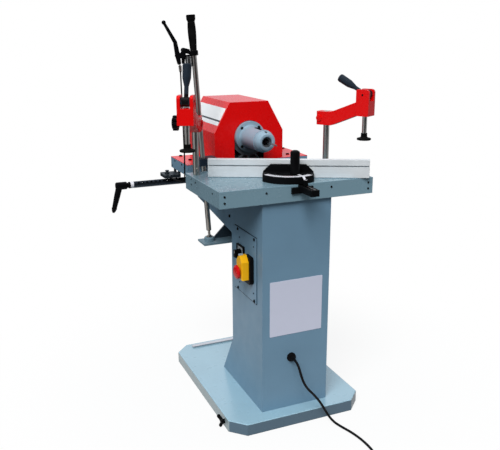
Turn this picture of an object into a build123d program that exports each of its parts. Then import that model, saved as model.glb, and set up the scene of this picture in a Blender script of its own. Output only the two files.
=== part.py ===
from build123d import *
import os
from math import atan2, cos, hypot, pi, radians, sin, sqrt, tan

# Slot mortiser on a sheet-metal stand. Millimetres, +X to the right along the table's front,
# +Y to the back, +Z up. The origin is on the floor under the centre of the base.

# Clearances
running_fit = 0.05
seat_gap = 0.3
turn_gap = 0.5

# Base tray
base_width = 500.0
base_depth = 656.0
base_height = 41.5
base_corner = 50.0
base_sheet = 4.0
base_bend = 3.0
base_rail_width = 60.0
strip_length = 366.0
strip_width = 22.0
strip_height = 6.0
strip_from_back = 20.0
wing_place = 242.0
wing_span = 40.0
wing_stem_radius = 4.0

# Column
column_width = 248.0
column_front = -276.0
column_back = -12.0
column_top = 806.0
column_sheet = 3.0
column_lid = 6.0
flare_top = 204.0
flare_depth = 99.0
rail_bar_width = 30.0
rail_bar_place = 95.0

# Table
table_width = 547.0
table_depth = 324.0
table_front = -288.5
table_top = 834.0
table_thickness = 8.0
apron_height = 46.0
apron_sheet = 4.0
scribe_place = 110.0
scribe_size = 1.5

# Mitre guide and fence
guide_x = 8.0
guide_width = 28.0
guide_height = 20.0
guide_front = -379.0
guide_length = 319.0
guide_below_top = 2.0
guide_side_gap = 0.2
slot_end = 10.0
channel_wall = 4.0
bracket_thickness = 7.5
bracket_reach = 38.0
bracket_height = 20.0
pivot_y = -190.0
pivot_radius = 6.0
fence_angle = -26.5
fence_length = 534.0
fence_height = 60.0
fence_thickness = 22.0
fence_behind_pivot = 7.0
fence_wall = 3.0
fence_lift = 1.0
protractor_radius = 100.0
protractor_half = 83.0
protractor_thickness = 22.0
upright_thickness = 14.0
upright_height = 24.0
upright_top_half = 59.0
lock_reach = 48.0
lock_swing = 48.0
lock_stud_radius = 5.0
lock_knob_radius = 15.5
lock_knob_height = 78.0

# Rear console and the rails along Y
console_width = 240.0
console_back = 365.0
console_top = 728.0
console_low = 611.0
console_rise = 53.0
console_sheet = 5.0
rail_radius = 10.0
y_rail_place = 70.0
y_rail_z = 752.0
y_rail_front = 40.0
support_width = 44.0
support_length = 16.0
support_over = 18.0

# Lower carriage, which moves along Y
carriage_half = 166.0
carriage_front = 140.0
carriage_back = 290.0
carriage_bottom = 774.0
carriage_thickness = 10.0
bush_length = 40.0
bush_depth = 42.0
x_rail_front = 165.0
x_rail_back = 265.0
x_rail_z = 812.0
x_support_length = 14.0
x_support_depth = 32.0

# Upper slide, which moves along X
slide_half = 241.0
slide_front = 115.0
slide_back = 311.0
slide_bottom = 804.0
slide_top = 845.0
cover_sheet = 2.0
slide_end_wall = 12.0
slide_wall = 4.0
slide_plate = 6.0
bearing_place = 66.0
bearing_length = 48.0
bearing_bottom = 794.0

# Motor hood, motor and spindle
hood_half = 135.0
hood_shoulder = 950.0
hood_top = 1058.0
hood_top_half = 75.0
hood_back = 400.0
hood_sheet = 3.0
hood_opening_half = 58.5
hood_slot_length = 110.0
hood_slot_width = 6.0
spindle_z = 932.0
motor_radius = 78.0
motor_back = 385.0
motor_fins = 20
flange_radius = 57.0
flange_front = 104.0
flange_thickness = 14.0
flange_bolt_circle = 47.5
flange_bolt_radius = 4.6
bell_radius = 70.0
bell_length = 16.0
barrel_back_radius = 41.0
barrel_front_radius = 37.5
nose_radius = 40.0
nose_start = -4.0
nose_shoulder = -12.0
nose_front = -42.0
nose_step = 2.5
nose_bulge_radius = 35.0
nose_face_radius = 28.0
nose_bore = 18.0
nose_mouth = 3.0
chamber_radius = 24.0
chamber_back = 62.0
window_size = (37.0, 58.0, 36.0)
window_centre = (12.5, 30.0, 30.0)
set_screw_y = -28.0
set_screw_radius = 4.0
chuck_radius = 17.0
chuck_front = -26.0
chuck_length = 62.0
spindle_radius = 11.0
spindle_length = 52.0
bit_radius = 3.0
bit_grip = 32.0
bit_tip = -116.0

# Joystick lever
fulcrum = (-171.6, 90.0, 578.0)
lever_tilt = -3.717
lever_bar_radius = 9.0
lever_bar_start = 24.0
lever_bar_end = 776.0
lever_ball_radius = 9.0
lever_rod_radius = 4.5
liner_wall = 2.0
socket_radius = 19.0
bracket_plate = 7.0
bracket_left = -204.0
bracket_right = -30.0
bracket_front = 54.0
bracket_back = 126.0
gusset_top = 641.0
gusset_thickness = 8.0
lever_block_height = 25.0
lever_throat = 11.7
lever_mouth = 15.8
grip_start = 664.0
grip_end = 779.5

# Brake-type release lever on the joystick, along the bar and out from it
brake_pivot = (-36.0, 667.0)
brake_web = (-43.0, 650.0)
brake_heel = (-60.0, 652.0)
brake_tip = (-57.0, 627.0)
brake_elbow = (-64.5, 695.0)
brake_end = (-97.0, 760.0)
brake_thickness = 7.0
perch_thickness = 8.0
perch_radius = 15.0
perch_low = 647.0
perch_leg = (-40.0, 626.0)
barrel_place = -20.5
barrel_radius = 11.0
barrel_low = 612.0
barrel_high = 651.0
cable_drop = 150.0
cable_bends = [150.0, 120.0, 24.0, 40.0]
cable_radius = 2.5

# Index bar and latch
index_y = 255.0
index_z = 760.0
index_radius = 12.0
index_left = -405.0
index_right = -112.0
index_ring_width = 12.0
index_collar_width = 6.0
index_hub_radius = 14.0
index_lever_reach = 40.0
index_lever_length = 102.0
index_lever_tilt = 16.0
index_hole_radius = 4.6
index_hole_depth = 8.0
index_pitches = {0.0: 24.0, 52.0: 16.0, -90.0: 32.0}
latch_x = -275.0
latch_pin_radius = 4.0
latch_plate_bottom = 779.0
latch_plate_thickness = 12.0

# Work clamps
post_x = 250.0
post_y = -10.0
post_radius = 11.0
socket_wall = 6.0
socket_depth = 40.0
clamp_heights = {"left": 982.0, "right": 977.0}
clamp_angles = {"left": -118.5, "right": -58.0}
cam_angles = {"left": 108.0, "right": 151.5}
knob_sides = {"left": -1, "right": 1}
boss_back = 33.0
boss_front = 26.0
boss_half = 20.0
boss_height = 48.0
arm_reach = 150.0
arm_rise = 40.5
arm_web_top = 88.0
fork_half_depth = 24.0
fork_half = 26.0
fork_height = 91.0
fork_slot_half = 15.5
fork_slot_floor = 92.0
fork_round_front = 12.0
fork_round_back = 5.0
cam_pin_height = 113.0
cam_pin_radius = 5.0
cam_radius = 15.0
cam_throw = 4.5
cam_lag = -135.0
cam_gap = 1.1
cam_lever_length = 115.0
plunger_radius = 8.5
plunger_low = -20.0
foot_radius = 25.0
clamp_screw_back = 20.0
clamp_screw_radius = 4.0
star_radii = {"left": 26.0, "right": 17.0}
star_lobes = 10

# Switch on the column's left side
switch_plate_size = (3.0, 187.0, 228.0)
switch_plate_centre = (-138.5, 538.5)
switch_base_size = (14.0, 60.0, 97.0)
switch_base_centre = (-184.0, 533.5)
switch_cover_size = (25.0, 48.0, 84.0)
switch_cover_centre = (-180.0, 545.0)
switch_bevel = (18.0, 21.0)
switch_wall = 2.5
stop_below = 16.0
stop_radius = 24.0
stop_depth = 11.0
stop_gap = 4.5
selector_centre = (-106.0, 568.0)
selector_size = (6.0, 62.0, 58.0)
selector_knob_radius = 15.0
selector_knob_depth = 20.0

# Mains cord
gland_centre = (-16.0, 230.0)
gland_radius = 16.0
gland_rim = 4.0
gland_dome = 12.0
gland_depth = 24.0
cord_diameter = 8.5
cord_route = [
    (-16.0, -290.0, 230.0),
    (-16.0, -310.0, 230.0),
    (-16.0, -328.5, 222.3),
    (-16.0, -342.6, 208.2),
    (-13.6, -350.6, 190.0),
    (-7.0, -353.2, 169.2),
    (8.0, -352.6, 142.5),
    (33.0, -350.0, 114.0),
    (55.0, -350.0, 86.0),
    (73.0, -352.0, 55.0),
    (86.0, -361.0, 27.5),
    (98.0, -380.0, 9.0),
    (110.0, -410.0, 4.25),
    (124.0, -452.0, 4.25),
    (133.0, -502.0, 4.25),
    (134.0, -556.0, 4.25),
    (126.0, -606.0, 4.25),
    (112.0, -648.0, 4.25),
]
coil_turns_per_layer = 2.25
coil_outer_radius = 58.0
coil_gap = 0.7
coil_lead = 34.0
plug_length = 46.0
plug_width = 36.0
pin_length = 19.0
pin_radius = 2.4
pin_spacing = 19.0


def block(x_range, y_range, z_range):
    """Cuboid between two limits on each axis."""
    size = [high - low for low, high in (x_range, y_range, z_range)]
    corner = (x_range[0], y_range[0], z_range[0])
    return Pos(*corner) * Box(*size, align=(Align.MIN, Align.MIN, Align.MIN))


def rod(start, end, radius):
    """Round bar between two points."""
    axis = Vector(*end) - Vector(*start)
    return extrude(Plane(origin=start, z_dir=axis) * Circle(radius), axis.length)


def side_profile(points, x_range):
    """Outline in Y and Z, extruded along X."""
    face = Plane.YZ.offset(x_range[0]) * Polygon(*points, align=None)
    return extrude(face, x_range[1] - x_range[0], dir=(1, 0, 0))


def front_profile(points, y_range):
    """Outline in X and Z, extruded along Y."""
    plane = Plane(origin=(0, y_range[0], 0), x_dir=(1, 0, 0), z_dir=(0, -1, 0))
    return extrude(plane * Polygon(*points, align=None), y_range[1] - y_range[0], dir=(0, 1, 0))


def turned(profile):
    """Solid of revolution about Z from radius and height pairs."""
    return revolve(Plane.XZ * Polygon(*profile, align=None), Axis.Z)


def revolved(outline):
    """Solid of revolution about Z from a closed outline of radius and height."""
    return revolve(Plane.XZ * make_face(outline), Axis.Z)


def link(start, end, start_radius, end_radius, y_range):
    """Flat tapered link with round ends, in X and Z, between two Y limits."""
    circles = Pos(*start) * Circle(start_radius) + Pos(*end) * Circle(end_radius)
    plane = Plane(origin=(0, y_range[0], 0), x_dir=(1, 0, 0), z_dir=(0, -1, 0))
    return extrude(plane * make_hull(circles.edges()), y_range[1] - y_range[0], dir=(0, 1, 0))


# Stand


def base_plan(inset):
    corner = base_corner - inset * (2 - sqrt(2))
    plan = Rectangle(base_width - 2 * inset, base_depth - 2 * inset)
    return chamfer(plan.vertices(), corner)


def make_base_tray():
    tray = extrude(base_plan(0), base_height)
    tray = fillet(tray.edges().group_by(Axis.Z)[-1], base_bend)
    tray -= extrude(base_plan(base_sheet), base_height - base_sheet)
    inner_half = base_width / 2 - base_sheet
    rail_half = base_rail_width / 2
    tray += block((-inner_half, inner_half), (-rail_half, rail_half), (0, base_height - base_sheet))
    channel_half = rail_half - base_sheet
    channel_z = (base_sheet, base_height - base_sheet)
    tray -= block((-inner_half, inner_half), (-channel_half, channel_half), channel_z)
    hole_radius = wing_stem_radius + running_fit
    skirt = (-base_width / 2, -wing_place, base_height / 2)
    return tray - rod(skirt, (skirt[0] + 2 * base_sheet, skirt[1], skirt[2]), hole_radius)


def make_base_strip():
    back = base_depth / 2 - strip_from_back
    half = strip_length / 2
    strip = block((-half, half), (back - strip_width, back), (base_height, base_height + strip_height))
    return chamfer(strip.edges().group_by(Axis.Z)[-1], strip_height / 4)


def make_base_wing():
    """Two-winged thumb screw in the left skirt."""
    face = -base_width / 2
    stem = rod((base_sheet, 0, 0), (-10, 0, 0), wing_stem_radius)
    hub = rod((-turn_gap, 0, 0), (-14, 0, 0), 2 * wing_stem_radius)
    wings = Part()
    for tilt in (-32, 32):
        wings += Rot(tilt, 0, 0) * link((-9, 4), (-17, wing_span / 2), 5, 6, (-3, 3))
    lower = link((-9, -4), (-15, -wing_span / 3), 5, 5, (-3, 3))
    return Pos(face, -wing_place, base_height / 2) * (stem + hub + wings + lower)


def column_outline(wall, top):
    """Side outline of the column, drawn in by a wall thickness on front, back and flare."""
    run = flare_depth / (flare_top - base_height)
    slant = wall * hypot(1, run)
    knee = flare_top - (slant - wall) / run
    foot = column_back + flare_depth - slant
    return [
        (column_front + wall, base_height),
        (column_front + wall, top),
        (column_back - wall, top),
        (column_back - wall, knee),
        (foot, base_height),
    ]


def make_column():
    half = column_width / 2
    inner = half - column_sheet
    column = side_profile(column_outline(0, column_top), (-half, half))
    column -= side_profile(column_outline(column_sheet, column_top - column_lid), (-inner, inner))
    bar_half = rail_bar_width / 2
    table_under = table_top - table_thickness
    for side in (-1, 1):
        middle = side * rail_bar_place
        bar_x = (middle - bar_half, middle + bar_half)
        column += block(bar_x, (column_front, column_back), (column_top, table_under))
    y_middle, z_middle = switch_plate_centre
    window = Box(4 * column_sheet, switch_plate_size[1] - 50, switch_plate_size[2] - 60)
    column -= Pos(-half, y_middle, z_middle) * window
    gland_x, gland_z = gland_centre
    front = (gland_x, column_front, gland_z)
    back = (gland_x, column_front + 2 * column_sheet, gland_z)
    return column - rod(front, back, cord_diameter / 2 + turn_gap)


def make_rear_console():
    """Folded console behind the column, with the four blocks that hold the lower rails."""
    outline = [
        (column_back, console_low),
        (column_back, console_top),
        (console_back, console_top),
        (console_back, console_low + console_rise),
    ]
    hollow = [
        (column_back + console_sheet, console_low - console_sheet),
        (column_back + console_sheet, console_top - console_sheet),
        (console_back, console_top - console_sheet),
        (console_back, console_low - console_sheet),
    ]
    half = console_width / 2
    inner = half - console_sheet
    console = side_profile(outline, (-half, half)) - side_profile(hollow, (-inner, inner))
    top = y_rail_z + support_over
    for side in (-1, 1):
        middle = side * y_rail_place
        x_range = (middle - support_width / 2, middle + support_width / 2)
        for front in (y_rail_front, console_back - support_length):
            support = block(x_range, (front, front + support_length), (console_top, top))
            console += fillet(support.edges().filter_by(Axis.Y).group_by(Axis.Z)[-1], support_over / 2)
    for rail in y_rail_bars(rail_radius):
        console -= rail
    return console


def y_rail_bars(radius):
    """The two lower rails, along Y."""
    bars = []
    for side in (-1, 1):
        middle = side * y_rail_place
        bars.append(rod((middle, y_rail_front, y_rail_z), (middle, console_back, y_rail_z), radius))
    return bars


def make_y_rails():
    return Part() + y_rail_bars(rail_radius)


# Table


def guide_top():
    return table_top - guide_below_top


def guide_slot(y_range, height):
    """Space for the mitre guide, from the channel floor up."""
    half = guide_width / 2 + guide_side_gap
    low = guide_top() - guide_height - guide_side_gap
    return block((guide_x - half, guide_x + half), y_range, (low, low + height))


def table_y():
    return table_front, table_front + table_depth


def make_table_plate():
    half = table_width / 2
    under = table_top - table_thickness
    plate = block((-half, half), table_y(), (under, table_top))
    plate = chamfer(plate.edges().group_by(Axis.Z)[-1], 0.8)
    plate -= guide_slot((table_front - 1, slot_end), 2 * guide_height)
    scribe = block(
        (scribe_place - scribe_size / 2, scribe_place + scribe_size / 2),
        (table_y()[0] - 1, table_y()[1] + 1),
        (table_top - scribe_size, table_top + 1),
    )
    plate -= scribe
    for side in (-1, 1):
        bore = rod((side * post_x, post_y, under - socket_depth), (side * post_x, post_y, table_top + 1),
                   post_radius + running_fit)
        sleeve = rod((side * post_x, post_y, under - socket_depth), (side * post_x, post_y, under),
                     post_radius + socket_wall)
        plate = plate + sleeve - bore
    return plate


def make_table_apron():
    """Folded apron under the plate, with the channel that carries the mitre guide."""
    under = table_top - table_thickness
    front, back = table_y()
    half = table_width / 2
    apron = block((-half, half), (front, back), (under - apron_height, under))
    apron -= block(
        (-half + apron_sheet, half - apron_sheet),
        (front + apron_sheet, back - apron_sheet),
        (under - apron_height, under),
    )
    channel_half = guide_width / 2 + guide_side_gap + channel_wall
    low = guide_top() - guide_height - guide_side_gap - channel_wall
    apron += block((guide_x - channel_half, guide_x + channel_half), (front, back), (low, under))
    return apron - guide_slot((front - 1, slot_end), 2 * guide_height)


def make_guide_bracket():
    """Notched guide plate on the front apron."""
    top = table_top - table_thickness
    x_range = (guide_x - bracket_reach, guide_x + bracket_reach)
    plate = block(x_range, (table_front - bracket_thickness, table_front), (top - bracket_height, top))
    return plate - guide_slot((table_front - 2 * bracket_thickness, table_front), 2 * guide_height)


def make_guide_bar():
    half = guide_width / 2
    y_range = (guide_front, guide_front + guide_length)
    bar = block((guide_x - half, guide_x + half), y_range, (guide_top() - guide_height, guide_top()))
    groove = SlotOverall(guide_length / 4, guide_width / 3, rotation=90)
    groove_place = (guide_x, guide_front + guide_length / 6, guide_top() - guide_height / 5)
    bar -= Pos(*groove_place) * extrude(groove, guide_height)
    stud_hole = rod((guide_x, pivot_y - lock_reach, guide_top() - guide_height / 2),
                    (guide_x, pivot_y - lock_reach, guide_top() + 1), lock_stud_radius + running_fit)
    pin_top = table_top + fence_lift + protractor_thickness
    pin = rod((guide_x, pivot_y, guide_top() - guide_height / 2), (guide_x, pivot_y, pin_top), pivot_radius)
    return bar - stud_hole + pin


def fence_frame():
    return Pos(guide_x, pivot_y, table_top + fence_lift) * Rot(0, 0, fence_angle)


def make_fence():
    """Hollow extruded rail with a T-groove a third of the way down its face."""
    height = fence_height
    depth = fence_thickness
    groove_z = 0.64 * height
    section = Pos(depth / 2, height / 2) * Rectangle(depth, height)
    section = fillet(section.vertices(), 1.0)
    chamber_depth = depth - 2 * fence_wall
    chamber_low = Pos(depth / 2, groove_z / 2 - 4) * Rectangle(chamber_depth, groove_z - 4 * fence_wall)
    chamber_high = Pos(depth / 2, 0.88 * height) * Rectangle(chamber_depth, 0.14 * height)
    groove_mouth = Pos(2, groove_z) * Rectangle(4.2, 4.5)
    groove_head = Pos(7, groove_z) * Rectangle(6, 10)
    section -= chamber_low + chamber_high + groove_mouth + groove_head
    plane = Plane(origin=(-fence_length / 2, fence_behind_pivot, 0), x_dir=(0, 1, 0), z_dir=(1, 0, 0))
    return fence_frame() * extrude(plane * section, fence_length)


def make_protractor():
    """Half-round scale body with a curved lock slot and an upright against the fence."""
    side_y = -sqrt(protractor_radius**2 - protractor_half**2)
    back = fence_behind_pivot
    outline = Polyline(
        (protractor_half, side_y),
        (protractor_half, back),
        (-protractor_half, back),
        (-protractor_half, side_y),
    )
    outline += ThreePointArc((-protractor_half, side_y), (0, -protractor_radius), (protractor_half, side_y))
    body = extrude(make_face(outline), protractor_thickness)
    body = chamfer(body.edges().group_by(Axis.Z)[-1].filter_by(GeomType.CIRCLE), 2.0)
    arc = CenterArc((0, 0), lock_reach, 270 - lock_swing, 2 * lock_swing)
    slot = extrude(SlotArc(arc, 2 * (lock_stud_radius + turn_gap)), protractor_thickness)
    pivot_hole = extrude(Circle(pivot_radius + running_fit), protractor_thickness)
    top = protractor_thickness + upright_height
    upright = front_profile(
        [(-protractor_half, protractor_thickness), (protractor_half, protractor_thickness),
         (upright_top_half, top), (-upright_top_half, top)],
        (back - upright_thickness, back),
    )
    return fence_frame() * (body - slot - pivot_hole + upright)


def make_lock_knob():
    base = table_top + fence_lift + protractor_thickness + turn_gap
    radius = lock_knob_radius
    height = lock_knob_height
    dome = radius / 2
    profile = [
        (0, 0),
        (radius - 1, 0),
        (radius, 1),
        (radius, height - dome),
        (0.87 * radius, height - dome / 2),
        (radius / 2, height - dome / 8),
        (0, height),
    ]
    stud_low = guide_top() - guide_height / 2 - base
    stud = rod((0, 0, stud_low), (0, 0, 1), lock_stud_radius)
    return Pos(guide_x, pivot_y - lock_reach, base) * (turned(profile) + stud)


# Cross slide


def make_y_carriage():
    """Cast lower carriage: bushes on the lower rails, holders for the upper rails, index bearing."""
    top = carriage_bottom + carriage_thickness
    plate = block((-carriage_half, carriage_half), (carriage_front, carriage_back), (carriage_bottom, top))
    carriage = fillet(plate.edges().filter_by(Axis.Z), 10)
    for side in (-1, 1):
        middle = side * y_rail_place
        x_range = (middle - support_width / 2, middle + support_width / 2)
        for y_middle in (carriage_front + bush_length / 2 + 10, carriage_back - bush_length / 2 - 10):
            y_range = (y_middle - bush_length / 2, y_middle + bush_length / 2)
            carriage += block(x_range, y_range, (carriage_bottom - bush_depth, carriage_bottom))
        for y_middle in (x_rail_front, x_rail_back):
            x_far = side * carriage_half
            x_near = side * (carriage_half - x_support_length)
            y_range = (y_middle - x_support_depth / 2, y_middle + x_support_depth / 2)
            holder = block(sorted((x_near, x_far)), y_range, (top, x_rail_z + support_over))
            carriage += fillet(holder.edges().filter_by(Axis.X).group_by(Axis.Z)[-1], support_over / 2)
    bearing_half = index_radius + 10
    carriage += block((-carriage_half, index_right), (index_y - bearing_half, index_y + bearing_half),
                      (index_z - bearing_half + 4, carriage_bottom))
    for rail in y_rail_bars(rail_radius + running_fit) + x_rail_bars(rail_radius):
        carriage -= rail
    return carriage - rod((-carriage_half - 1, index_y, index_z), (index_right, index_y, index_z),
                          index_radius + running_fit)


def x_rail_bars(radius):
    """The two upper rails, along X."""
    bars = []
    for y_middle in (x_rail_front, x_rail_back):
        bars.append(rod((-carriage_half, y_middle, x_rail_z), (carriage_half, y_middle, x_rail_z), radius))
    return bars


def make_x_rails():
    return Part() + x_rail_bars(rail_radius)


def make_slide_box():
    """Inverted tray with thick end plates and four bearing blocks on the upper rails."""
    top = slide_top - cover_sheet
    box = block((-slide_half, slide_half), (slide_front, slide_back), (slide_bottom, top))
    inner = slide_half - slide_end_wall
    under = top - slide_plate
    inner_y = (slide_front + slide_wall, slide_back - slide_wall)
    box -= block((-inner, inner), inner_y, (slide_bottom, under))
    for side in (-1, 1):
        middle = side * bearing_place
        x_range = (middle - bearing_length / 2, middle + bearing_length / 2)
        for y_middle in (x_rail_front, x_rail_back):
            y_range = (y_middle - support_width / 2, y_middle + support_width / 2)
            box += block(x_range, y_range, (bearing_bottom, under))
    for rail in x_rail_bars(rail_radius + running_fit):
        box -= rail
    return box


def make_slide_cover():
    return block((-slide_half, slide_half), (slide_front, slide_back), (slide_top - cover_sheet, slide_top))


def hood_outline(inset):
    """Front outline of the hood, drawn in by a sheet thickness."""
    slope = atan2(hood_top - hood_shoulder, hood_half - hood_top_half)
    shoulder = hood_shoulder - inset * tan((pi / 2 - slope) / 2)
    top_half = hood_top_half - inset * tan(slope / 2)
    side = hood_half - inset
    top = hood_top - inset
    return [(-side, slide_top), (-side, shoulder), (-top_half, top), (top_half, top), (side, shoulder),
            (side, slide_top)]


def make_hood():
    """Folded hood: front sheet with an arched opening, open below over the slide, slotted back."""
    hood = front_profile(hood_outline(0), (slide_front, hood_back))
    hood -= front_profile(hood_outline(hood_sheet), (slide_front + hood_sheet, hood_back - hood_sheet))
    opening = hood_opening_half
    arch_y = (slide_front - 1, slide_front + 2 * hood_sheet)
    arch = rod((0, arch_y[0], spindle_z), (0, arch_y[1], spindle_z), opening)
    arch += block((-opening, opening), arch_y, (slide_top, spindle_z))
    hood -= arch
    slot_plane = Plane(origin=(0, hood_back + 1, 0), x_dir=(1, 0, 0), z_dir=(0, -1, 0))
    slot_pitch = 16.0
    for row in range(7):
        place = Pos(0, hood_shoulder - 70 + row * slot_pitch)
        hood -= extrude(slot_plane * place * SlotOverall(hood_slot_length, hood_slot_width), 2 * hood_sheet)
    floor_half = hood_half - hood_sheet
    floor_y = (slide_back, hood_back - hood_sheet)
    floor_sheet = block((-floor_half, floor_half), floor_y, (slide_top, slide_top + hood_sheet))
    return hood + floor_sheet


def make_motor():
    """Finned motor body with a front bell, two cast feet and a fan cowl at the back."""
    front = flange_front + flange_thickness
    length = motor_back - front
    radius = motor_radius
    body_radius = 0.86 * radius
    cowl = 0.22 * length
    profile = [
        (0, 0),
        (flange_radius - 2, 0),
        (flange_radius - 2, 1),
        (bell_radius, 1),
        (bell_radius, bell_length),
        (body_radius, bell_length),
        (body_radius, length - cowl),
        (radius, length - cowl),
        (radius, length - 8),
        (0.92 * radius, length),
        (0, length),
    ]
    body = turned(profile)
    fin = Pos(0.9 * radius, 0, 0.42 * length) * Box(0.18 * radius, 4, 0.6 * length)
    for index in range(motor_fins):
        body += Rot(0, 0, index * 360 / motor_fins) * fin
    body = Pos(0, front, spindle_z) * Rot(-90, 0, 0) * body
    foot_half = 0.62 * radius
    foot_y = (front + 0.12 * length, front + 0.62 * length)
    web_y = (front + 0.16 * length, front + 0.58 * length)
    body += block((-foot_half, foot_half), foot_y, (slide_top, slide_top + 14))
    body += block((-0.55 * foot_half, 0.55 * foot_half), web_y, (slide_top, spindle_z - 0.7 * radius))
    bell_y = (front + 1, front + bell_length)
    bell_low = spindle_z - bell_radius + 4
    body += block((-4, 4), bell_y, (slide_top, bell_low))
    for side in (-1, 1):
        rib = [
            (side * 46, slide_top),
            (side * 37, slide_top),
            (side * 18, bell_low + 4),
            (side * 26, bell_low + 4),
        ]
        body += front_profile(rib, bell_y)
    return body


def make_spindle_housing():
    """Cast spindle nose: bolted flange, barrel with a key window, domed nose over the chuck's chamber."""
    back = flange_front + flange_thickness
    seat_radius = spindle_radius + running_fit
    seat_back = chuck_front + chuck_length + spindle_length + turn_gap
    neck = barrel_front_radius - 1.5
    dome_start = (nose_face_radius, -nose_front)
    dome_end = (nose_radius - nose_step, -nose_shoulder)
    dome = ThreePointArc(dome_start, (nose_bulge_radius, -nose_front - 12), dome_end)
    inside = [
        (seat_radius, seat_back),
        (seat_radius, chamber_back),
        (chamber_radius, chamber_back),
        (chamber_radius, nose_front + 12),
        (nose_bore, nose_front + 6),
        (nose_bore, nose_front + nose_mouth),
        (nose_bore + nose_mouth, nose_front),
        (nose_face_radius, nose_front),
    ]
    outside = [
        (nose_radius - nose_step, nose_shoulder),
        (nose_radius, nose_shoulder),
        (nose_radius, nose_start),
        (neck, nose_start),
        (neck, nose_start + 2),
        (barrel_front_radius, nose_start + 2),
        (barrel_back_radius, flange_front - 5),
        (barrel_back_radius + 3, flange_front),
        (flange_radius, flange_front),
        (flange_radius, back),
        (0, back),
        (0, seat_back),
        (seat_radius, seat_back),
    ]
    outline = Polyline(*[(radius, -y) for radius, y in inside])
    outline += dome
    outline += Polyline(*[(radius, -y) for radius, y in outside])
    body = Pos(0, 0, spindle_z) * Rot(90, 0, 0) * revolved(outline)
    window_x, window_y, window_z = window_centre
    body -= Pos(window_x, window_y, spindle_z + window_z) * Box(*window_size)
    screw_low = (0, set_screw_y, spindle_z + nose_bore)
    screw_high = (0, set_screw_y, spindle_z + 2 * nose_radius)
    body -= rod(screw_low, screw_high, set_screw_radius)
    for angle in (45, 135, 225, 315):
        x = flange_bolt_circle * cos(radians(angle))
        z = spindle_z + flange_bolt_circle * sin(radians(angle))
        body -= rod((x, flange_front - 6, z), (x, flange_front + 5, z), flange_bolt_radius)
    return body


def make_chuck():
    """Key chuck on its spindle, inside the housing's chamber."""
    end = chuck_length + spindle_length
    profile = [
        (0, 0),
        (0.5 * chuck_radius, 0),
        (chuck_radius, 0.22 * chuck_length),
        (chuck_radius, chuck_length - 3),
        (chuck_radius - 3, chuck_length),
        (spindle_radius, chuck_length),
        (spindle_radius, end),
        (0, end),
    ]
    chuck = turned(profile)
    key_z = 0.6 * chuck_length
    key_hole = rod((0.6 * chuck_radius, 0, key_z), (2 * chuck_radius, 0, key_z), 3)
    for angle in (90, 210, 330):
        chuck -= Rot(0, 0, angle) * key_hole
    chuck -= rod((0, 0, -1), (0, 0, bit_grip), bit_radius)
    return Pos(0, chuck_front, spindle_z) * Rot(-90, 0, 0) * chuck


def make_bit():
    """Slot drill with two straight gashes and a plain shank."""
    start = chuck_front + bit_grip
    bit = rod((0, start, spindle_z), (0, bit_tip, spindle_z), bit_radius)
    gash_length = 0.55 * (nose_front - bit_tip)
    for side in (-1, 1):
        gash = block((-bit_radius, bit_radius), (bit_tip - 1, bit_tip + gash_length),
                     sorted((spindle_z + side * 0.9, spindle_z + side * 2 * bit_radius)))
        bit -= Pos(side * bit_radius, 0, 0) * gash
    return bit


def make_lever_block():
    """Block at the slide's front edge with an hourglass hole for the joystick."""
    middle = lever_point(0, (slide_top + lever_block_height / 2 - fulcrum[2]) / cos(radians(lever_tilt)))
    half = lever_mouth + 4
    low = slide_top
    high = slide_top + lever_block_height
    body = block((middle.X - half, -hood_half - 5), (middle.Y - half, slide_front + 18), (low, high))
    body = chamfer(body.edges().filter_by(Axis.Z), 3)
    half_height = lever_block_height / 2
    hole = [
        (0, -half_height),
        (lever_mouth, -half_height),
        (lever_throat, 0),
        (lever_mouth, half_height),
        (0, half_height),
    ]
    return body - Pos(middle.X, middle.Y, low + half_height) * turned(hole)


# Joystick lever


def lever_frame():
    return Pos(*fulcrum) * Rot(0, lever_tilt, 0)


def lever_point(across, along):
    """World point at a distance along the joystick from its ball and across it."""
    angle = radians(lever_tilt)
    return Vector(fulcrum[0] + along * sin(angle) + across * cos(angle), fulcrum[1],
                  fulcrum[2] + along * cos(angle) - across * sin(angle))


def make_fulcrum_bracket():
    """Shelf behind the column with a flange on the column's back, a gusset and a rib."""
    top = fulcrum[2] - socket_height()
    low = top - bracket_plate
    neck_left = -column_width / 2 + 28
    shelf = block((bracket_left, bracket_right), (bracket_front, bracket_back), (low, top))
    shelf += block((neck_left, bracket_right), (column_back, bracket_front), (low, top))
    flange_back = column_back + bracket_plate
    flange_top = gusset_top - 40
    flange = block((neck_left, bracket_right), (column_back, flange_back), (low, flange_top))
    gusset_y = fulcrum[1] + socket_radius + turn_gap
    gusset_start = -150.0
    gusset_outline = [
        (gusset_start, top),
        (bracket_right, top),
        (bracket_right, gusset_top),
        (gusset_start + gusset_top - top, gusset_top),
    ]
    gusset = front_profile(gusset_outline, (gusset_y, gusset_y + gusset_thickness))
    rib_outline = [(flange_back, top), (gusset_y, top), (gusset_y, top + 30), (flange_back, flange_top)]
    rib = side_profile(rib_outline, (bracket_right - gusset_thickness, bracket_right))
    return shelf + flange + gusset + rib


def socket_height():
    return lever_ball_radius + liner_wall + 5


def make_fulcrum_socket():
    """Collar with a half-round seat for the ball joint."""
    height = socket_height()
    outer = lever_ball_radius + liner_wall + running_fit
    radius = socket_radius
    collar = turned([(0, -height), (radius, -height), (radius, -3), (radius - 3, 0), (0, 0)])
    return Pos(*fulcrum) * (collar - Sphere(outer))


def make_fulcrum_liner():
    """Half-round liner between the ball and its collar."""
    outer = lever_ball_radius + liner_wall
    inner = lever_ball_radius + running_fit
    lower = Pos(0, 0, -outer) * Box(3 * outer, 3 * outer, 2 * outer)
    return Pos(*fulcrum) * ((Sphere(outer) - Sphere(inner)) & lower)


def make_lever_foot():
    """Ball stud at the foot of the joystick."""
    stud = rod((0, 0, 0), (0, 0, lever_bar_start + 40), lever_rod_radius)
    return lever_frame() * (Sphere(lever_ball_radius) + stud)


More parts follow.
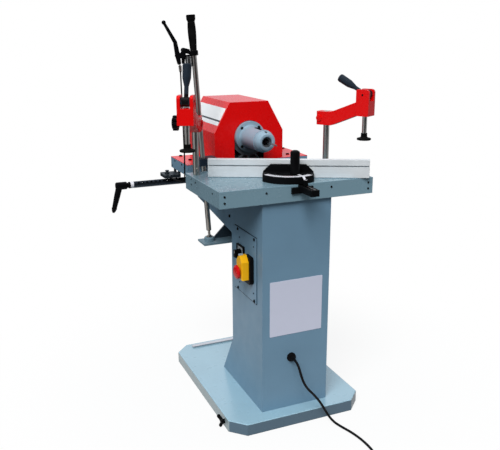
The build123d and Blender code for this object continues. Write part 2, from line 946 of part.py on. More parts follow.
def make_lever_bar():
    bar = rod((0, 0, lever_bar_start), (0, 0, lever_bar_end), lever_bar_radius)
    bar = chamfer(bar.edges(), 1.5)
    bore = rod((0, 0, lever_bar_start), (0, 0, lever_bar_start + 42), lever_rod_radius + running_fit)
    return lever_frame() * (bar - bore)


def make_lever_grip():
    """Moulded grip: slim foot, soft belly and a flared top."""
    low = grip_start
    high = grip_end
    belly = Spline((11.2, low), (12.8, low + 27), (13.9, low + 66), (12.0, high - 23))
    flare = Spline((12.0, high - 23), (13.4, high - 19), (15.2, high - 15))
    top = Polyline((15.2, high - 15), (15.2, high - 3), (13.5, high), (0, high), (0, low), (11.2, low))
    grip = revolved(belly + flare + top)
    bore = rod((0, 0, low), (0, 0, lever_bar_end), lever_bar_radius + running_fit)
    return lever_frame() * (grip - bore)


def make_brake_perch():
    """Clamp round the joystick bar with the release lever's pivot, a leg and a spring barrel."""
    pivot_x, pivot_z = brake_pivot
    half = perch_thickness / 2
    top = grip_start - turn_gap
    ring = rod((0, 0, perch_low), (0, 0, top), perch_radius)
    ring = chamfer(ring.edges(), 1.5)
    arm = link((0, (perch_low + top) / 2), brake_pivot, 8, 8, (-half, half))
    leg = link(brake_pivot, perch_leg, 7, 4.5, (-half, half))
    barrel = rod((barrel_place, 0, barrel_low), (barrel_place, 0, barrel_high), barrel_radius)
    barrel = chamfer(barrel.edges(), 1.0)
    perch = ring + arm + leg + barrel
    perch -= rod((0, 0, perch_low - 1), (0, 0, top), lever_bar_radius + running_fit)
    perch -= rod((0, 0, top), (0, 0, grip_end), perch_radius)
    pin = rod((pivot_x, half, pivot_z), (pivot_x, -half - brake_thickness - 2, pivot_z), 4)
    return lever_frame() * (perch + pin)


def make_brake_lever():
    """Bent blade with a ball end, and a web to its pivot beside the perch."""
    back = -perch_thickness / 2 - turn_gap
    y_range = (back - brake_thickness, back)
    blade = link(brake_end, brake_elbow, 4, 6, y_range)
    blade += link(brake_elbow, brake_heel, 6, 8, y_range)
    blade += link(brake_heel, brake_tip, 8, 6, y_range)
    blade += link(brake_heel, brake_web, 9, 9.5, y_range)
    blade += link(brake_web, brake_pivot, 9.5, 7, y_range)
    blade += Pos(brake_end[0], back - brake_thickness / 2, brake_end[1]) * Sphere(7)
    pivot_x, pivot_z = brake_pivot
    return lever_frame() * (blade - rod((pivot_x, 20, pivot_z), (pivot_x, -40, pivot_z), 4 + running_fit))


def make_brake_cable():
    """Release cable from its ferrule under the release lever down to the latch."""
    middle = -perch_thickness / 2 - turn_gap - brake_thickness / 2
    top = lever_point(brake_tip[0] + 2, brake_tip[1] - 28.5)
    lug_front = index_y - 41
    start = (top.X, top.Y + middle, top.Z)
    end = (latch_x, lug_front, latch_plate_bottom + latch_plate_thickness / 2)
    route = [
        start,
        (start[0] + 3, start[1], start[2] - cable_drop),
        (start[0] + 6, start[1] + 4, slide_top + 30),
        (start[0] + 6, start[1] + 10, end[2] + 2),
        (end[0], end[1] - 50, end[2]),
        end,
    ]
    path = FilletPolyline(*route, radius=cable_bends)
    cable = sweep(Plane(origin=path @ 0, z_dir=path % 0) * Circle(cable_radius), path)
    ferrule = link((0, 0), (0, 17), 3.2, 4.5, (-3.5, 3.5))
    return cable + Pos(*start) * Rot(0, lever_tilt, 0) * ferrule


# Index bar and latch


def make_index_bar():
    bar = rod((index_left, 0, 0), (index_right, 0, 0), index_radius)
    bar = chamfer(bar.edges(), 1.0)
    hole_z = index_radius - index_hole_depth
    for turn, pitch in index_pitches.items():
        first = int((latch_x - index_left) / pitch)
        for step in range(-first, first + 1):
            x = latch_x + step * pitch
            if index_left + 8 < x < index_right - 60:
                hole = rod((x, 0, hole_z), (x, 0, index_radius + 1), index_hole_radius)
                bar -= Rot(turn, 0, 0) * hole
    return Pos(0, index_y, index_z) * bar


def make_index_ring():
    ring = rod((index_left - index_ring_width, 0, 0), (index_left, 0, 0), index_radius)
    return Pos(0, index_y, index_z) * ring


def make_index_lever():
    """Angled clamping lever: collar, elbow hub and a tapered arm that hangs down."""
    start = index_left - index_ring_width
    hub_start = start - 2 * index_collar_width
    collar = rod((start, 0, 0), (start - index_collar_width, 0, 0), index_radius)
    waist = rod((start - index_collar_width, 0, 0), (hub_start - 1, 0, 0), 0.8 * index_radius)
    hub = rod((hub_start, 0, 0), (start - index_lever_reach - index_hub_radius, 0, 0), index_hub_radius)
    hub = fillet(hub.edges(), 0.35 * index_hub_radius)
    thick = index_hub_radius
    length = index_lever_length
    profile = [
        (0, 0),
        (0.84 * thick, 0),
        (0.79 * thick, 0.38 * length),
        (0.63 * thick, 0.79 * length),
        (0.69 * thick, 0.85 * length),
        (0.5 * thick, 0.94 * length),
        (0.25 * thick, length),
        (0, length),
    ]
    arm = Pos(start - index_lever_reach, 0, 0) * Rot(0, 180 + index_lever_tilt, 0) * turned(profile)
    return Pos(0, index_y, index_z) * (collar + waist + hub + arm)


def make_latch_bracket():
    """Latch casting hung from the slide's left end plate on two posts."""
    low = latch_plate_bottom
    high = low + latch_plate_thickness
    end_wall = -slide_half + slide_end_wall / 2
    plate = block((latch_x - 18, end_wall + 5), (index_y - 30, index_y + 36), (low, high))
    plate = fillet(plate.edges().filter_by(Axis.Z), 6)
    for y in (index_y - 22, index_y + 28):
        plate += rod((end_wall, y, high), (end_wall, y, slide_bottom), 5)
    plate += rod((latch_x, index_y, low - 4), (latch_x, index_y, high + 6), 9)
    middle = (low + high) / 2
    plate += rod((latch_x, index_y - 41, middle), (latch_x, index_y - 29, middle), 5)
    pin_radius_free = latch_pin_radius + running_fit
    return plate - rod((latch_x, index_y, low - 5), (latch_x, index_y, high + 7), pin_radius_free)


def make_latch_pin():
    low = index_z + index_radius + turn_gap
    head = latch_plate_bottom + latch_plate_thickness + 9
    profile = [(0, low), (latch_pin_radius - 1, low), (latch_pin_radius, low + 1), (latch_pin_radius, head),
               (7, head), (7, head + 4), (0, head + 4)]
    return Pos(latch_x, index_y, 0) * turned(profile)


# Work clamps


def clamp_frame(side):
    sign = -1 if side == "left" else 1
    return Pos(sign * post_x, post_y, clamp_heights[side]) * Rot(0, 0, clamp_angles[side])


def make_post(side):
    sign = -1 if side == "left" else 1
    low = table_top - table_thickness - socket_depth
    top = clamp_heights[side] + boss_height + 1
    post = rod((0, 0, low), (0, 0, top), post_radius)
    post = chamfer(post.edges().group_by(Axis.Z)[-1], 1.5)
    cross_z = table_top + 24
    post -= rod((0, -2 * post_radius, cross_z), (0, 2 * post_radius, cross_z), 3)
    return Pos(sign * post_x, post_y, 0) * post


def make_arm(side):
    """Cast clamp arm: split boss on the post, rising web and a fork with the cam pin."""
    near = arm_reach - fork_half_depth
    far = arm_reach + fork_half_depth
    fork_top = arm_rise + fork_height
    outline = [
        (-boss_back, 0),
        (boss_front, 0),
        (near, arm_rise),
        (near, arm_web_top),
        (boss_front, boss_height),
        (-boss_back, boss_height),
    ]
    web = front_profile(outline, (-boss_half, boss_half))
    web = fillet(web.edges().filter_by(Axis.Z).group_by(Axis.X)[0], 8)
    fork = block((near, far), (-fork_half, fork_half), (arm_rise, fork_top))
    fork = fillet(fork.edges().filter_by(Axis.Y).group_by(Axis.Z)[-1].sort_by(Axis.X)[-1], fork_round_front)
    fork = fillet(fork.edges().filter_by(Axis.Y).group_by(Axis.Z)[-1].sort_by(Axis.X)[0], fork_round_back)
    fork -= block((near, far), (-fork_slot_half, fork_slot_half), (fork_slot_floor, fork_top))
    outer_side = -knob_sides[side]
    screw_face = outer_side * boss_half
    screw_x = -clamp_screw_back
    screw_z = boss_height / 2
    reach = boss_half + 10
    boss = rod((screw_x, screw_face, screw_z), (screw_x, screw_face + outer_side * 3, screw_z), 11)
    screw_radius = clamp_screw_radius + running_fit
    screw_hole = rod((screw_x, -reach, screw_z), (screw_x, reach, screw_z), screw_radius)
    post_hole = rod((0, 0, -1), (0, 0, boss_height + 1), post_radius + running_fit)
    split = block((-boss_back - 1, 0), (-1.5, 1.5), (-1, boss_height + 1))
    hole_low = (arm_reach, 0, arm_rise - 1)
    hole_high = (arm_reach, 0, fork_slot_floor + 1)
    plunger_hole = rod(hole_low, hole_high, plunger_radius + running_fit)
    pin_end = (arm_reach, fork_half, cam_pin_height)
    pin = rod((arm_reach, -fork_half, cam_pin_height), pin_end, cam_pin_radius)
    arm = web + fork + boss - screw_hole - post_hole - split - plunger_hole
    return clamp_frame(side) * (arm + pin)


def make_arm_knob(side):
    """Star knob on a screw across the split boss."""
    ring = 0.78 * star_radii[side]
    lobe_radius = star_radii[side] - ring
    lobes = Circle(ring)
    for index in range(star_lobes):
        angle = radians(index * 360 / star_lobes)
        lobes += Pos(ring * cos(angle), ring * sin(angle)) * Circle(lobe_radius)
    head_start = 40.0
    head = Pos(0, 0, head_start) * extrude(lobes, 17)
    crown = head_start + 20
    head += turned([(0, head_start), (ring, head_start), (ring, crown - 2), (ring - 3, crown), (0, crown)])
    neck = turned([(0, turn_gap), (9, turn_gap), (11, head_start), (0, head_start)])
    screw = rod((0, 0, -2 * boss_half), (0, 0, turn_gap), clamp_screw_radius)
    turn = -90 * knob_sides[side]
    place = Pos(-clamp_screw_back, knob_sides[side] * boss_half, boss_height / 2) * Rot(turn, 0, 0)
    return clamp_frame(side) * place * (head + neck + screw)


def make_cam_lever(side):
    """Eccentric hub on the fork's pin with a bottle-shaped lever."""
    lag = radians(cam_lag + 90)
    centre = (cam_throw * cos(lag), cam_throw * sin(lag))
    half = fork_slot_half - turn_gap
    hub = rod((centre[0], -half, centre[1]), (centre[0], half, centre[1]), cam_radius)
    length = cam_lever_length
    profile = [
        (0, 8),
        (7, 8),
        (7, 46),
        (8, 49),
        (13.5, 72),
        (14.2, length - 4),
        (12.5, length),
        (0, length),
    ]
    bore = rod((0, -2 * half, 0), (0, 2 * half, 0), cam_pin_radius + running_fit)
    place = Pos(arm_reach, 0, cam_pin_height) * Rot(0, 90 - cam_angles[side], 0)
    return clamp_frame(side) * place * (hub + turned(profile) - bore)


def plunger_top(side):
    """Height just under the eccentric hub."""
    lift = cam_throw * sin(radians(cam_angles[side] + cam_lag))
    return cam_pin_height + lift - cam_radius - cam_gap


def make_plunger(side):
    plunger = rod((arm_reach, 0, plunger_low), (arm_reach, 0, plunger_top(side)), plunger_radius)
    plunger = chamfer(plunger.edges().group_by(Axis.Z)[-1], 1)
    return clamp_frame(side) * plunger


def make_foot(side):
    """Rubber pressure foot: collar over a wide disc."""
    profile = [
        (0, 0),
        (11, 0),
        (11, -11),
        (14, -15),
        (foot_radius - 2, -17),
        (foot_radius, -19),
        (foot_radius, -22),
        (foot_radius - 2, -24),
        (0, -24),
    ]
    return clamp_frame(side) * Pos(arm_reach, 0, plunger_low) * turned(profile)


# Switch


def wall_x(outward):
    """X at a distance out from the column's left side."""
    return -column_width / 2 - outward


def make_switch_plate():
    depth, width, height = switch_plate_size
    y, z = switch_plate_centre
    y_range = (y - width / 2, y + width / 2)
    z_range = (z - height / 2, z + height / 2)
    plate = block((wall_x(depth), wall_x(0)), y_range, z_range)
    return chamfer(plate.edges().group_by(Axis.X)[0], 0.8)


def make_switch_base():
    """Moulded switch body with a rounded outline."""
    depth, width, height = switch_base_size
    y, z = switch_base_centre
    start = wall_x(switch_plate_size[0])
    plan = Pos(y, z) * RectangleRounded(width, height, 13)
    body = extrude(Plane.YZ.offset(start) * plan, -depth)
    return chamfer(body.edges().group_by(Axis.X)[0], 1.5)


def cover_start():
    return switch_plate_size[0] + switch_base_size[0] + seat_gap


def make_switch_cover():
    """Hollow flap with a bevelled top over the switch."""
    depth, width, height = switch_cover_size
    y, z = switch_cover_centre
    start = cover_start()
    half = width / 2
    bevel_run, bevel_drop = switch_bevel
    low = z - height / 2
    high = z + height / 2
    outline = [
        (y - half, low),
        (y + half, low),
        (y + half, high - bevel_drop),
        (y + half - bevel_run, high),
        (y - half + bevel_run, high),
        (y - half, high - bevel_drop),
    ]
    cover = side_profile(outline, (wall_x(start + depth), wall_x(start)))
    cover = chamfer(cover.edges().group_by(Axis.X)[0], 2)
    inner = half - switch_wall
    inner_x = (wall_x(start + depth - switch_wall), wall_x(start))
    cover -= block(inner_x, (y - inner, y + inner), (low + switch_wall, high - bevel_drop))
    stem_z = z - stop_below
    stem_radius = 0.4 * stop_radius + running_fit
    return cover - rod((wall_x(start + depth + 1), y, stem_z), (wall_x(start), y, stem_z), stem_radius)


def make_stop_button():
    """Mushroom button through the flap."""
    depth = switch_cover_size[0]
    y, z = switch_cover_centre
    radius = stop_radius
    crown = stop_gap + stop_depth
    profile = [
        (0, -depth / 2),
        (0.4 * radius, -depth / 2),
        (0.4 * radius, stop_gap),
        (0.92 * radius, stop_gap),
        (radius, stop_gap + 2),
        (0.95 * radius, stop_gap + 0.6 * stop_depth),
        (0.7 * radius, stop_gap + 0.93 * stop_depth),
        (0, crown),
    ]
    place = Pos(wall_x(cover_start() + depth), y, z - stop_below) * Rot(0, -90, 0)
    return place * turned(profile)


def make_selector_bezel():
    """Square frame of the selector switch, with a recessed face."""
    depth, width, height = selector_size
    y, z = selector_centre
    start = wall_x(switch_plate_size[0])
    frame_plan = Pos(y, z) * RectangleRounded(width, height, 5)
    face_plan = Pos(y, z) * RectangleRounded(width - 10, height - 10, 3)
    body = extrude(Plane.YZ.offset(start) * frame_plan, -depth)
    recess = extrude(Plane.YZ.offset(start - depth / 2) * face_plan, -depth)
    stem = rod((start - depth - 1, y, z), (start, y, z), 0.4 * selector_knob_radius + running_fit)
    return body - recess - stem


def make_selector_knob():
    """Handle of the selector: round skirt with a raised bar across it."""
    depth = selector_size[0]
    y, z = selector_centre
    radius = selector_knob_radius
    seat = turn_gap - depth / 2
    stem = 0.4 * radius
    skirt = turned([(0, -depth), (stem, -depth), (stem, seat), (radius, seat), (0.94 * radius, 6), (0, 6)])
    bar = Pos(0, 0, selector_knob_depth / 2) * Box(1.8 * radius, 1.1 * radius, selector_knob_depth)
    bar = fillet(bar.edges().filter_by(Axis.Z), 3)
    return Pos(wall_x(switch_plate_size[0] + depth), y, z) * Rot(0, -90, 0) * (skirt + bar)


# Mains cord


def make_cord_gland():
    """Domed cable gland in the column's front sheet, with a tapered sleeve over the cord."""
    x, z = gland_centre
    radius = gland_radius
    bore = cord_diameter / 2 + running_fit
    spigot = cord_diameter / 2 + turn_gap - running_fit
    profile = [
        (bore, -column_sheet),
        (bore, gland_depth),
        (bore + 1.3, gland_depth),
        (0.5 * radius, gland_dome),
        (0.85 * radius, 0.75 * gland_dome),
        (radius, gland_rim),
        (radius, 0),
        (spigot, 0),
        (spigot, -column_sheet),
    ]
    return Pos(x, column_front, z) * Rot(90, 0, 0) * turned(profile)


def bend_radii(route):
    """Largest even bend at each corner of a route."""
    radii = []
    for before, corner, after in zip(route, route[1:], route[2:]):
        arriving = Vector(*corner) - Vector(*before)
        leaving = Vector(*after) - Vector(*corner)
        half_turn = radians(arriving.get_angle(leaving)) / 2
        radii.append(0.45 * min(arriving.length, leaving.length) / tan(half_turn))
    return radii


def make_mains_cord():
    radii = bend_radii(cord_route)
    path = FilletPolyline(*cord_route, radius=radii)
    cord = sweep(Plane(origin=path @ 0, z_dir=path % 0) * Circle(cord_diameter / 2), path)
    section = pi * cord_diameter**2 / 4
    print("cord radii", [round(radius) for radius in radii])
    ratio = cord.volume / (section * path.length)
    print("cord length", round(path.length), "volume ratio", round(ratio, 4))
    return cord


def coil_start():
    """Where the cord runs into its coil, with its heading."""
    heading = Vector(*cord_route[-1]) - Vector(*cord_route[-2])
    return Vector(*cord_route[-1]), heading.normalized()


def coil_points():
    """Points and headings every quarter turn of a coil of two layers, in and back out."""
    start, heading = coil_start()
    pitch = cord_diameter + coil_gap
    lead = start + heading * cord_diameter
    inward = Vector(-heading.Y, heading.X, 0)
    centre = lead + inward * coil_outer_radius
    first_angle = atan2(-inward.Y, -inward.X)
    quarters = round(4 * coil_turns_per_layer)
    points = [(start, heading)]
    last_quarter = 2 * quarters + 2
    for quarter in range(last_quarter + 1):
        inward_steps = min(quarter, last_quarter - quarter)
        radius = coil_outer_radius - pitch / 4 * inward_steps
        climb = min(max(quarter - quarters, 0), 2) / 2
        angle = first_angle + quarter * pi / 2
        point = centre + Vector(radius * cos(angle), radius * sin(angle), climb * pitch)
        along = Vector(-sin(angle), cos(angle), 0)
        slide = 0.0
        if 0 < quarter <= quarters:
            slide = -pitch / (2 * pi)
        if quarters + 2 <= quarter < last_quarter:
            slide = pitch / (2 * pi)
        rise = pitch / pi * 1.5 if climb == 0.5 else 0.0
        heading_here = along * radius + Vector(cos(angle), sin(angle), 0) * slide + Vector(0, 0, rise)
        points.append((point, heading_here.normalized()))
    last, leaving = points[-1]
    points.append((last + leaving * coil_lead, leaving))
    return points


def biarc(start, start_heading, end, end_heading):
    """Two tangent arcs between two points with given headings."""
    gap = end - start
    total = start_heading + end_heading
    quadratic = total.dot(total) - 4
    linear = -2 * gap.dot(total)
    constant = gap.dot(gap)
    if abs(quadratic) < 1e-6:
        reach = -constant / linear
    else:
        root = sqrt(linear**2 - 4 * quadratic * constant)
        reach = max((-linear - root) / (2 * quadratic), (-linear + root) / (2 * quadratic))
    first = start + start_heading * reach
    second = end - end_heading * reach
    middle = (first + second) * 0.5
    turn = (second - first).normalized()
    return [TangentArc(start, middle, tangent=start_heading), TangentArc(middle, end, tangent=turn)]


def make_cord_coil():
    points = coil_points()
    edges = [Line(points[0][0], points[1][0])]
    for (start, start_heading), (end, end_heading) in zip(points[1:-2], points[2:-1]):
        edges += biarc(start, start_heading, end, end_heading)
    edges.append(Line(points[-2][0], points[-1][0]))
    path = Wire([edge.edge() for edge in edges])
    coil = sweep(Plane(origin=path @ 0, z_dir=path % 0) * Circle(cord_diameter / 2), path)
    print("coil length", round(path.length), "least gap", round(least_gap(path), 2))
    return coil


def least_gap(path):
    """Least free space between two turns of a coiled cord, on points."""
    count = int(path.length / 4)
    places = [path @ (index / count) for index in range(count + 1)]
    apart = int(10 * cord_diameter / 4)
    gaps = []
    for index, place in enumerate(places):
        for other in places[index + apart:]:
            gaps.append((place - other).length - cord_diameter)
    return min(gaps)


def make_cord_plug():
    """Flat two-pin earthed plug at the end of the coil."""
    point, heading = coil_points()[-1]
    half_height = point.Z
    body = extrude(RectangleRounded(plug_width, 2 * half_height, 6), plug_length)
    body = chamfer(body.edges().group_by(Axis.Z)[0], 4)
    cord_radius = cord_diameter / 2
    neck = turned([(0, -14), (cord_radius + 1.5, -14), (cord_radius + 5, 0), (0, 0)])
    plug = body + neck
    for side in (-1, 1):
        foot = side * pin_spacing / 2
        plug += rod((foot, 0, plug_length), (foot, 0, plug_length + pin_length), pin_radius)
    plane = Plane(origin=point + heading * 14, x_dir=Vector(heading.Y, -heading.X, 0), z_dir=heading)
    return plane.location * plug


nodes = {
    "base_tray": make_base_tray(),
    "base_strip": make_base_strip(),
    "base_wing": make_base_wing(),
    "column": make_column(),
    "rear_console": make_rear_console(),
    "y_rails": make_y_rails(),
    "table_plate": make_table_plate(),
    "table_apron": make_table_apron(),
    "guide_bracket": make_guide_bracket(),
    "guide_bar": make_guide_bar(),
    "fence": make_fence(),
    "protractor": make_protractor(),
    "lock_knob": make_lock_knob(),
    "y_carriage": make_y_carriage(),
    "x_rails": make_x_rails(),
    "slide_box": make_slide_box(),
    "slide_cover": make_slide_cover(),
    "hood": make_hood(),
    "motor": make_motor(),
    "spindle_housing": make_spindle_housing(),
    "chuck": make_chuck(),
    "bit": make_bit(),
    "lever_block": make_lever_block(),
    "fulcrum_bracket": make_fulcrum_bracket(),
    "fulcrum_socket": make_fulcrum_socket(),
    "fulcrum_liner": make_fulcrum_liner(),
    "lever_foot": make_lever_foot(),
    "lever_bar": make_lever_bar(),
    "lever_grip": make_lever_grip(),
    "brake_perch": make_brake_perch(),
    "brake_lever": make_brake_lever(),
    "brake_cable": make_brake_cable(),
    "index_bar": make_index_bar(),
    "index_ring": make_index_ring(),
    "index_lever": make_index_lever(),
    "latch_bracket": make_latch_bracket(),
    "latch_pin": make_latch_pin(),
    "switch_plate": make_switch_plate(),
    "switch_base": make_switch_base(),
    "switch_cover": make_switch_cover(),
    "stop_button": make_stop_button(),
    "selector_bezel": make_selector_bezel(),
    "selector_knob": make_selector_knob(),
    "cord_gland": make_cord_gland(),
    "mains_cord": make_mains_cord(),
    "cord_coil": make_cord_coil(),
    "cord_plug": make_cord_plug(),
}
for side in ("left", "right"):
    nodes[side + "_post"] = make_post(side)
    nodes[side + "_arm"] = make_arm(side)
    nodes[side + "_arm_knob"] = make_arm_knob(side)
    nodes[side + "_cam_lever"] = make_cam_lever(side)
    nodes[side + "_plunger"] = make_plunger(side)
    nodes[side + "_foot"] = make_foot(side)

os.makedirs("parts", exist_ok=True)
for name, solid in nodes.items():
    solid.label = name
    export_step(solid, os.path.join("parts", name + ".step"))
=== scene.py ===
# %% [markdown]
# # A slot mortiser, dressed in Blender
# The solid parts of this workshop machine are already made and jointed. This lesson loads them as
# a fixed frame, gives every part a finish of its own, and adds what the solids don't carry: the
# cord, bare plates, a scale, screws.

# %% Load the frame
from math import atan2, cos, pi, radians, sin

import bmesh
import bpy
from mathutils import Matrix, Vector


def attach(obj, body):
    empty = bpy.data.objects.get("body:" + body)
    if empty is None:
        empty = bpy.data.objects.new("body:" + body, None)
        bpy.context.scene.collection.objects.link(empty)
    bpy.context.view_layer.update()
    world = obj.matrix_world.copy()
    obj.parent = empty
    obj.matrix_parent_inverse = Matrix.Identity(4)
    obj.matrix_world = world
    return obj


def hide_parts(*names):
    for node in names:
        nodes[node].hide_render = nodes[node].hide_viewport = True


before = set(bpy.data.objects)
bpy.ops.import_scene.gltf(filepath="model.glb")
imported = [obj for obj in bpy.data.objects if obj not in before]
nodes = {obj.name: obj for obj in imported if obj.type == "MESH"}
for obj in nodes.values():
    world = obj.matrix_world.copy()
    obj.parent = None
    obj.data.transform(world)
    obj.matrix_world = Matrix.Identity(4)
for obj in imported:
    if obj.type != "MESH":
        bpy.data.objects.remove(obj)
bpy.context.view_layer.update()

MM = 0.001
scene = bpy.context.scene

# %% [markdown]
# The camera comes first, because everything else is judged through it. It stands where the
# photographer stood: to the front left, a little above the table, looking slightly down. Its
# place and lens were found by lining up the edges of the base, column and table.

# %% Camera
camera_data = bpy.data.cameras.new("photo_camera")
camera_data.sensor_width = 36.0
camera_data.lens = 48.63
camera = bpy.data.objects.new("photo_camera", camera_data)
camera.location = (-0.97345, -2.14961, 1.29745)
camera_yaw = -23.29
camera_pitch = 15.905
camera_roll = -0.0041
heading = Matrix.Rotation(radians(camera_yaw), 4, "Z")
tilt = Matrix.Rotation(radians(90 - camera_pitch), 4, "X")
roll = Matrix.Rotation(camera_roll, 4, "Z")
camera.rotation_euler = (heading @ tilt @ roll).to_euler()
scene.collection.objects.link(camera)
scene.camera = camera
scene.view_settings.view_transform = "Standard"
print("camera at", [round(value, 3) for value in camera.location])

# %% [markdown]
# The mains lead is one smooth line. It leaves the gland on the column's front, bends down under
# its own weight, lies on the floor, and its spare length is wound into a tied coil outside the
# picture. A NURBS curve through the route's points bends as a rubber lead does, where straight
# pieces with rounded corners would look like wire.

# %% Route of the mains lead
lead_diameter = 8.5
lead_route = [
    (-16.0, -290.0, 230.0), (-16.0, -310.0, 230.0), (-16.0, -328.5, 222.3), (-16.0, -342.6, 208.2),
    (-13.6, -350.6, 190.0), (-7.0, -353.2, 169.2), (8.0, -352.6, 142.5), (33.0, -350.0, 114.0),
    (55.0, -350.0, 86.0), (73.0, -352.0, 55.0), (86.0, -361.0, 27.5), (98.0, -380.0, 9.0),
    (110.0, -410.0, 4.25), (124.0, -452.0, 4.25), (133.0, -502.0, 4.25), (134.0, -556.0, 4.25),
    (126.0, -606.0, 4.25), (112.0, -648.0, 4.25),
]
coil_radius = 58.0
coil_pitch = lead_diameter + 0.7
coil_quarters = 20
climb_from = 9
points_per_quarter = 4
coil_lead_out = 34.0
coil_bulge_share = 0.6


def coil_centre():
    """Middle of the coil, the direction the lead arrives in and the angle of its first point."""
    start = Vector(lead_route[-1])
    along = (start - Vector(lead_route[-2])).normalized()
    inward = Vector((-along.y, along.x, 0))
    return start + along * lead_diameter + inward * coil_radius, along, atan2(-inward.y, -inward.x)


def coil_line():
    """Centre line of the coil: in on the floor, up one layer, and out again."""
    centre, along, first_angle = coil_centre()
    line = []
    bulge = 1 / cos(pi / 4 / points_per_quarter) ** 2
    for step in range(coil_quarters * points_per_quarter + 1):
        quarter = step / points_per_quarter
        radius = coil_radius - coil_pitch / 4 * min(quarter, coil_quarters - quarter)
        radius *= 1 + (bulge - 1) * coil_bulge_share
        climb = min(max((quarter - climb_from) / 2, 0), 1)
        angle = first_angle + quarter * pi / 2
        height = coil_pitch * climb * climb * (3 - 2 * climb)
        line.append(centre + Vector((radius * cos(angle), radius * sin(angle), height)))
    line.append(line[-1] + along * coil_lead_out * 0.5)
    line.append(line[-2] + along * coil_lead_out)
    return line


coil_points = coil_line()
print("coil points", len(coil_points))

# %% Mains lead as one NURBS curve
lead_curve = bpy.data.curves.new("mains_lead", "CURVE")
lead_curve.dimensions = "3D"
lead_curve.bevel_depth = lead_diameter / 2 * MM
lead_curve.bevel_resolution = 5
lead_curve.resolution_u = 6
lead_curve.use_fill_caps = True
lead_points = [Vector(point) for point in lead_route] + coil_points
spline = lead_curve.splines.new("NURBS")
spline.points.add(len(lead_points) - 1)
for control, point in zip(spline.points, lead_points):
    control.co = (*(point * MM), 1.0)
spline.order_u = 3
spline.use_endpoint_u = True
mains_lead = bpy.data.objects.new("mains_lead", lead_curve)
scene.collection.objects.link(mains_lead)
lead_length = spline.calc_length()
print("lead length", round(lead_length, 3))

# %% [markdown]
# Finishes. The machine has few materials: enamel on sheet and castings, ground steel, black
# plastic, rubber and aluminium. What several of them share, such as the faint unevenness of
# sprayed enamel, is a node group with named inputs, so one change reaches every part.

# %% Small helpers for node trees
COLOUR, VALUE, VECTOR = "NodeSocketColor", "NodeSocketFloat", "NodeSocketVector"


def new_group(name, inputs, outputs):
    """Empty shader node group with its sockets."""
    group = bpy.data.node_groups.new(name, "ShaderNodeTree")
    for label, kind, value in inputs:
        socket = group.interface.new_socket(label, in_out="INPUT", socket_type=kind)
        socket.default_value = value
    for label, kind in outputs:
        group.interface.new_socket(label, in_out="OUTPUT", socket_type=kind)
    entry = group.nodes.new("NodeGroupInput")
    leave = group.nodes.new("NodeGroupOutput")
    return group, entry, leave


def object_place(tree):
    return tree.nodes.new("ShaderNodeTexCoord").outputs["Object"]


def noise(tree, coordinates, scale, detail, roughness=0.5):
    node = tree.nodes.new("ShaderNodeTexNoise")
    node.inputs["Scale"].default_value = scale
    node.inputs["Detail"].default_value = detail
    node.inputs["Roughness"].default_value = roughness
    tree.links.new(coordinates, node.inputs["Vector"])
    return node.outputs["Fac"]


def spread(tree, value, low, high, to_low, to_high, kind="LINEAR"):
    """Maps one range of values onto another."""
    node = tree.nodes.new("ShaderNodeMapRange")
    node.interpolation_type = kind
    tree.links.new(value, node.inputs["Value"])
    node.inputs["From Min"].default_value = low
    node.inputs["From Max"].default_value = high
    node.inputs["To Min"].default_value = to_low
    node.inputs["To Max"].default_value = to_high
    return node.outputs["Result"]


def arithmetic(tree, operation, first, second):
    node = tree.nodes.new("ShaderNodeMath")
    node.operation = operation
    for socket, value in zip(node.inputs, (first, second)):
        if isinstance(value, (int, float)):
            socket.default_value = value
        else:
            tree.links.new(value, socket)
    return node.outputs["Value"]


def vector_math(tree, operation, *values):
    """Outputs of a vector calculation on sockets or fixed vectors."""
    node = tree.nodes.new("ShaderNodeVectorMath")
    node.operation = operation
    for socket, value in zip(node.inputs, values):
        if isinstance(value, (tuple, Vector)):
            socket.default_value = value
        else:
            tree.links.new(value, socket)
    return node.outputs


def blend_colours(tree, factor, first, second):
    node = tree.nodes.new("ShaderNodeMix")
    node.data_type = "RGBA"
    for label, value in (("Factor_Float", factor), ("A_Color", first), ("B_Color", second)):
        socket = next(item for item in node.inputs if item.identifier == label)
        if isinstance(value, (int, float, tuple)):
            socket.default_value = value
        else:
            tree.links.new(value, socket)
    return next(item for item in node.outputs if item.identifier == "Result_Color")


print("node helpers ready")

# %% Shared effects as node groups


def make_enamel_group():
    """Sprayed enamel: cloudy tone, uneven gloss and fine orange peel."""
    group, entry, leave = new_group(
        "sprayed_enamel",
        [("Tone", COLOUR, (0.5, 0.5, 0.5, 1)), ("Gloss", VALUE, 0.35),
         ("Cloud", VALUE, 0.10), ("Uneven", VALUE, 1.0)],
        [("Color", COLOUR), ("Roughness", VALUE), ("Height", VALUE)],
    )
    place = object_place(group)
    cloud = spread(group, noise(group, place, 7.0, 3.0), 0.35, 0.7, 0.0, 1.0)
    darker = arithmetic(group, "MULTIPLY", cloud, entry.outputs["Cloud"])
    colour = blend_colours(group, darker, entry.outputs["Tone"], (0.05, 0.06, 0.08, 1))
    uneven = spread(group, noise(group, place, 26.0, 4.0, 0.65), 0.3, 0.75, -0.05, 0.08)
    uneven = arithmetic(group, "MULTIPLY", uneven, entry.outputs["Uneven"])
    roughness = arithmetic(group, "ADD", uneven, entry.outputs["Gloss"])
    group.links.new(colour, leave.inputs["Color"])
    group.links.new(roughness, leave.inputs["Roughness"])
    group.links.new(noise(group, place, 420.0, 2.0), leave.inputs["Height"])
    return group


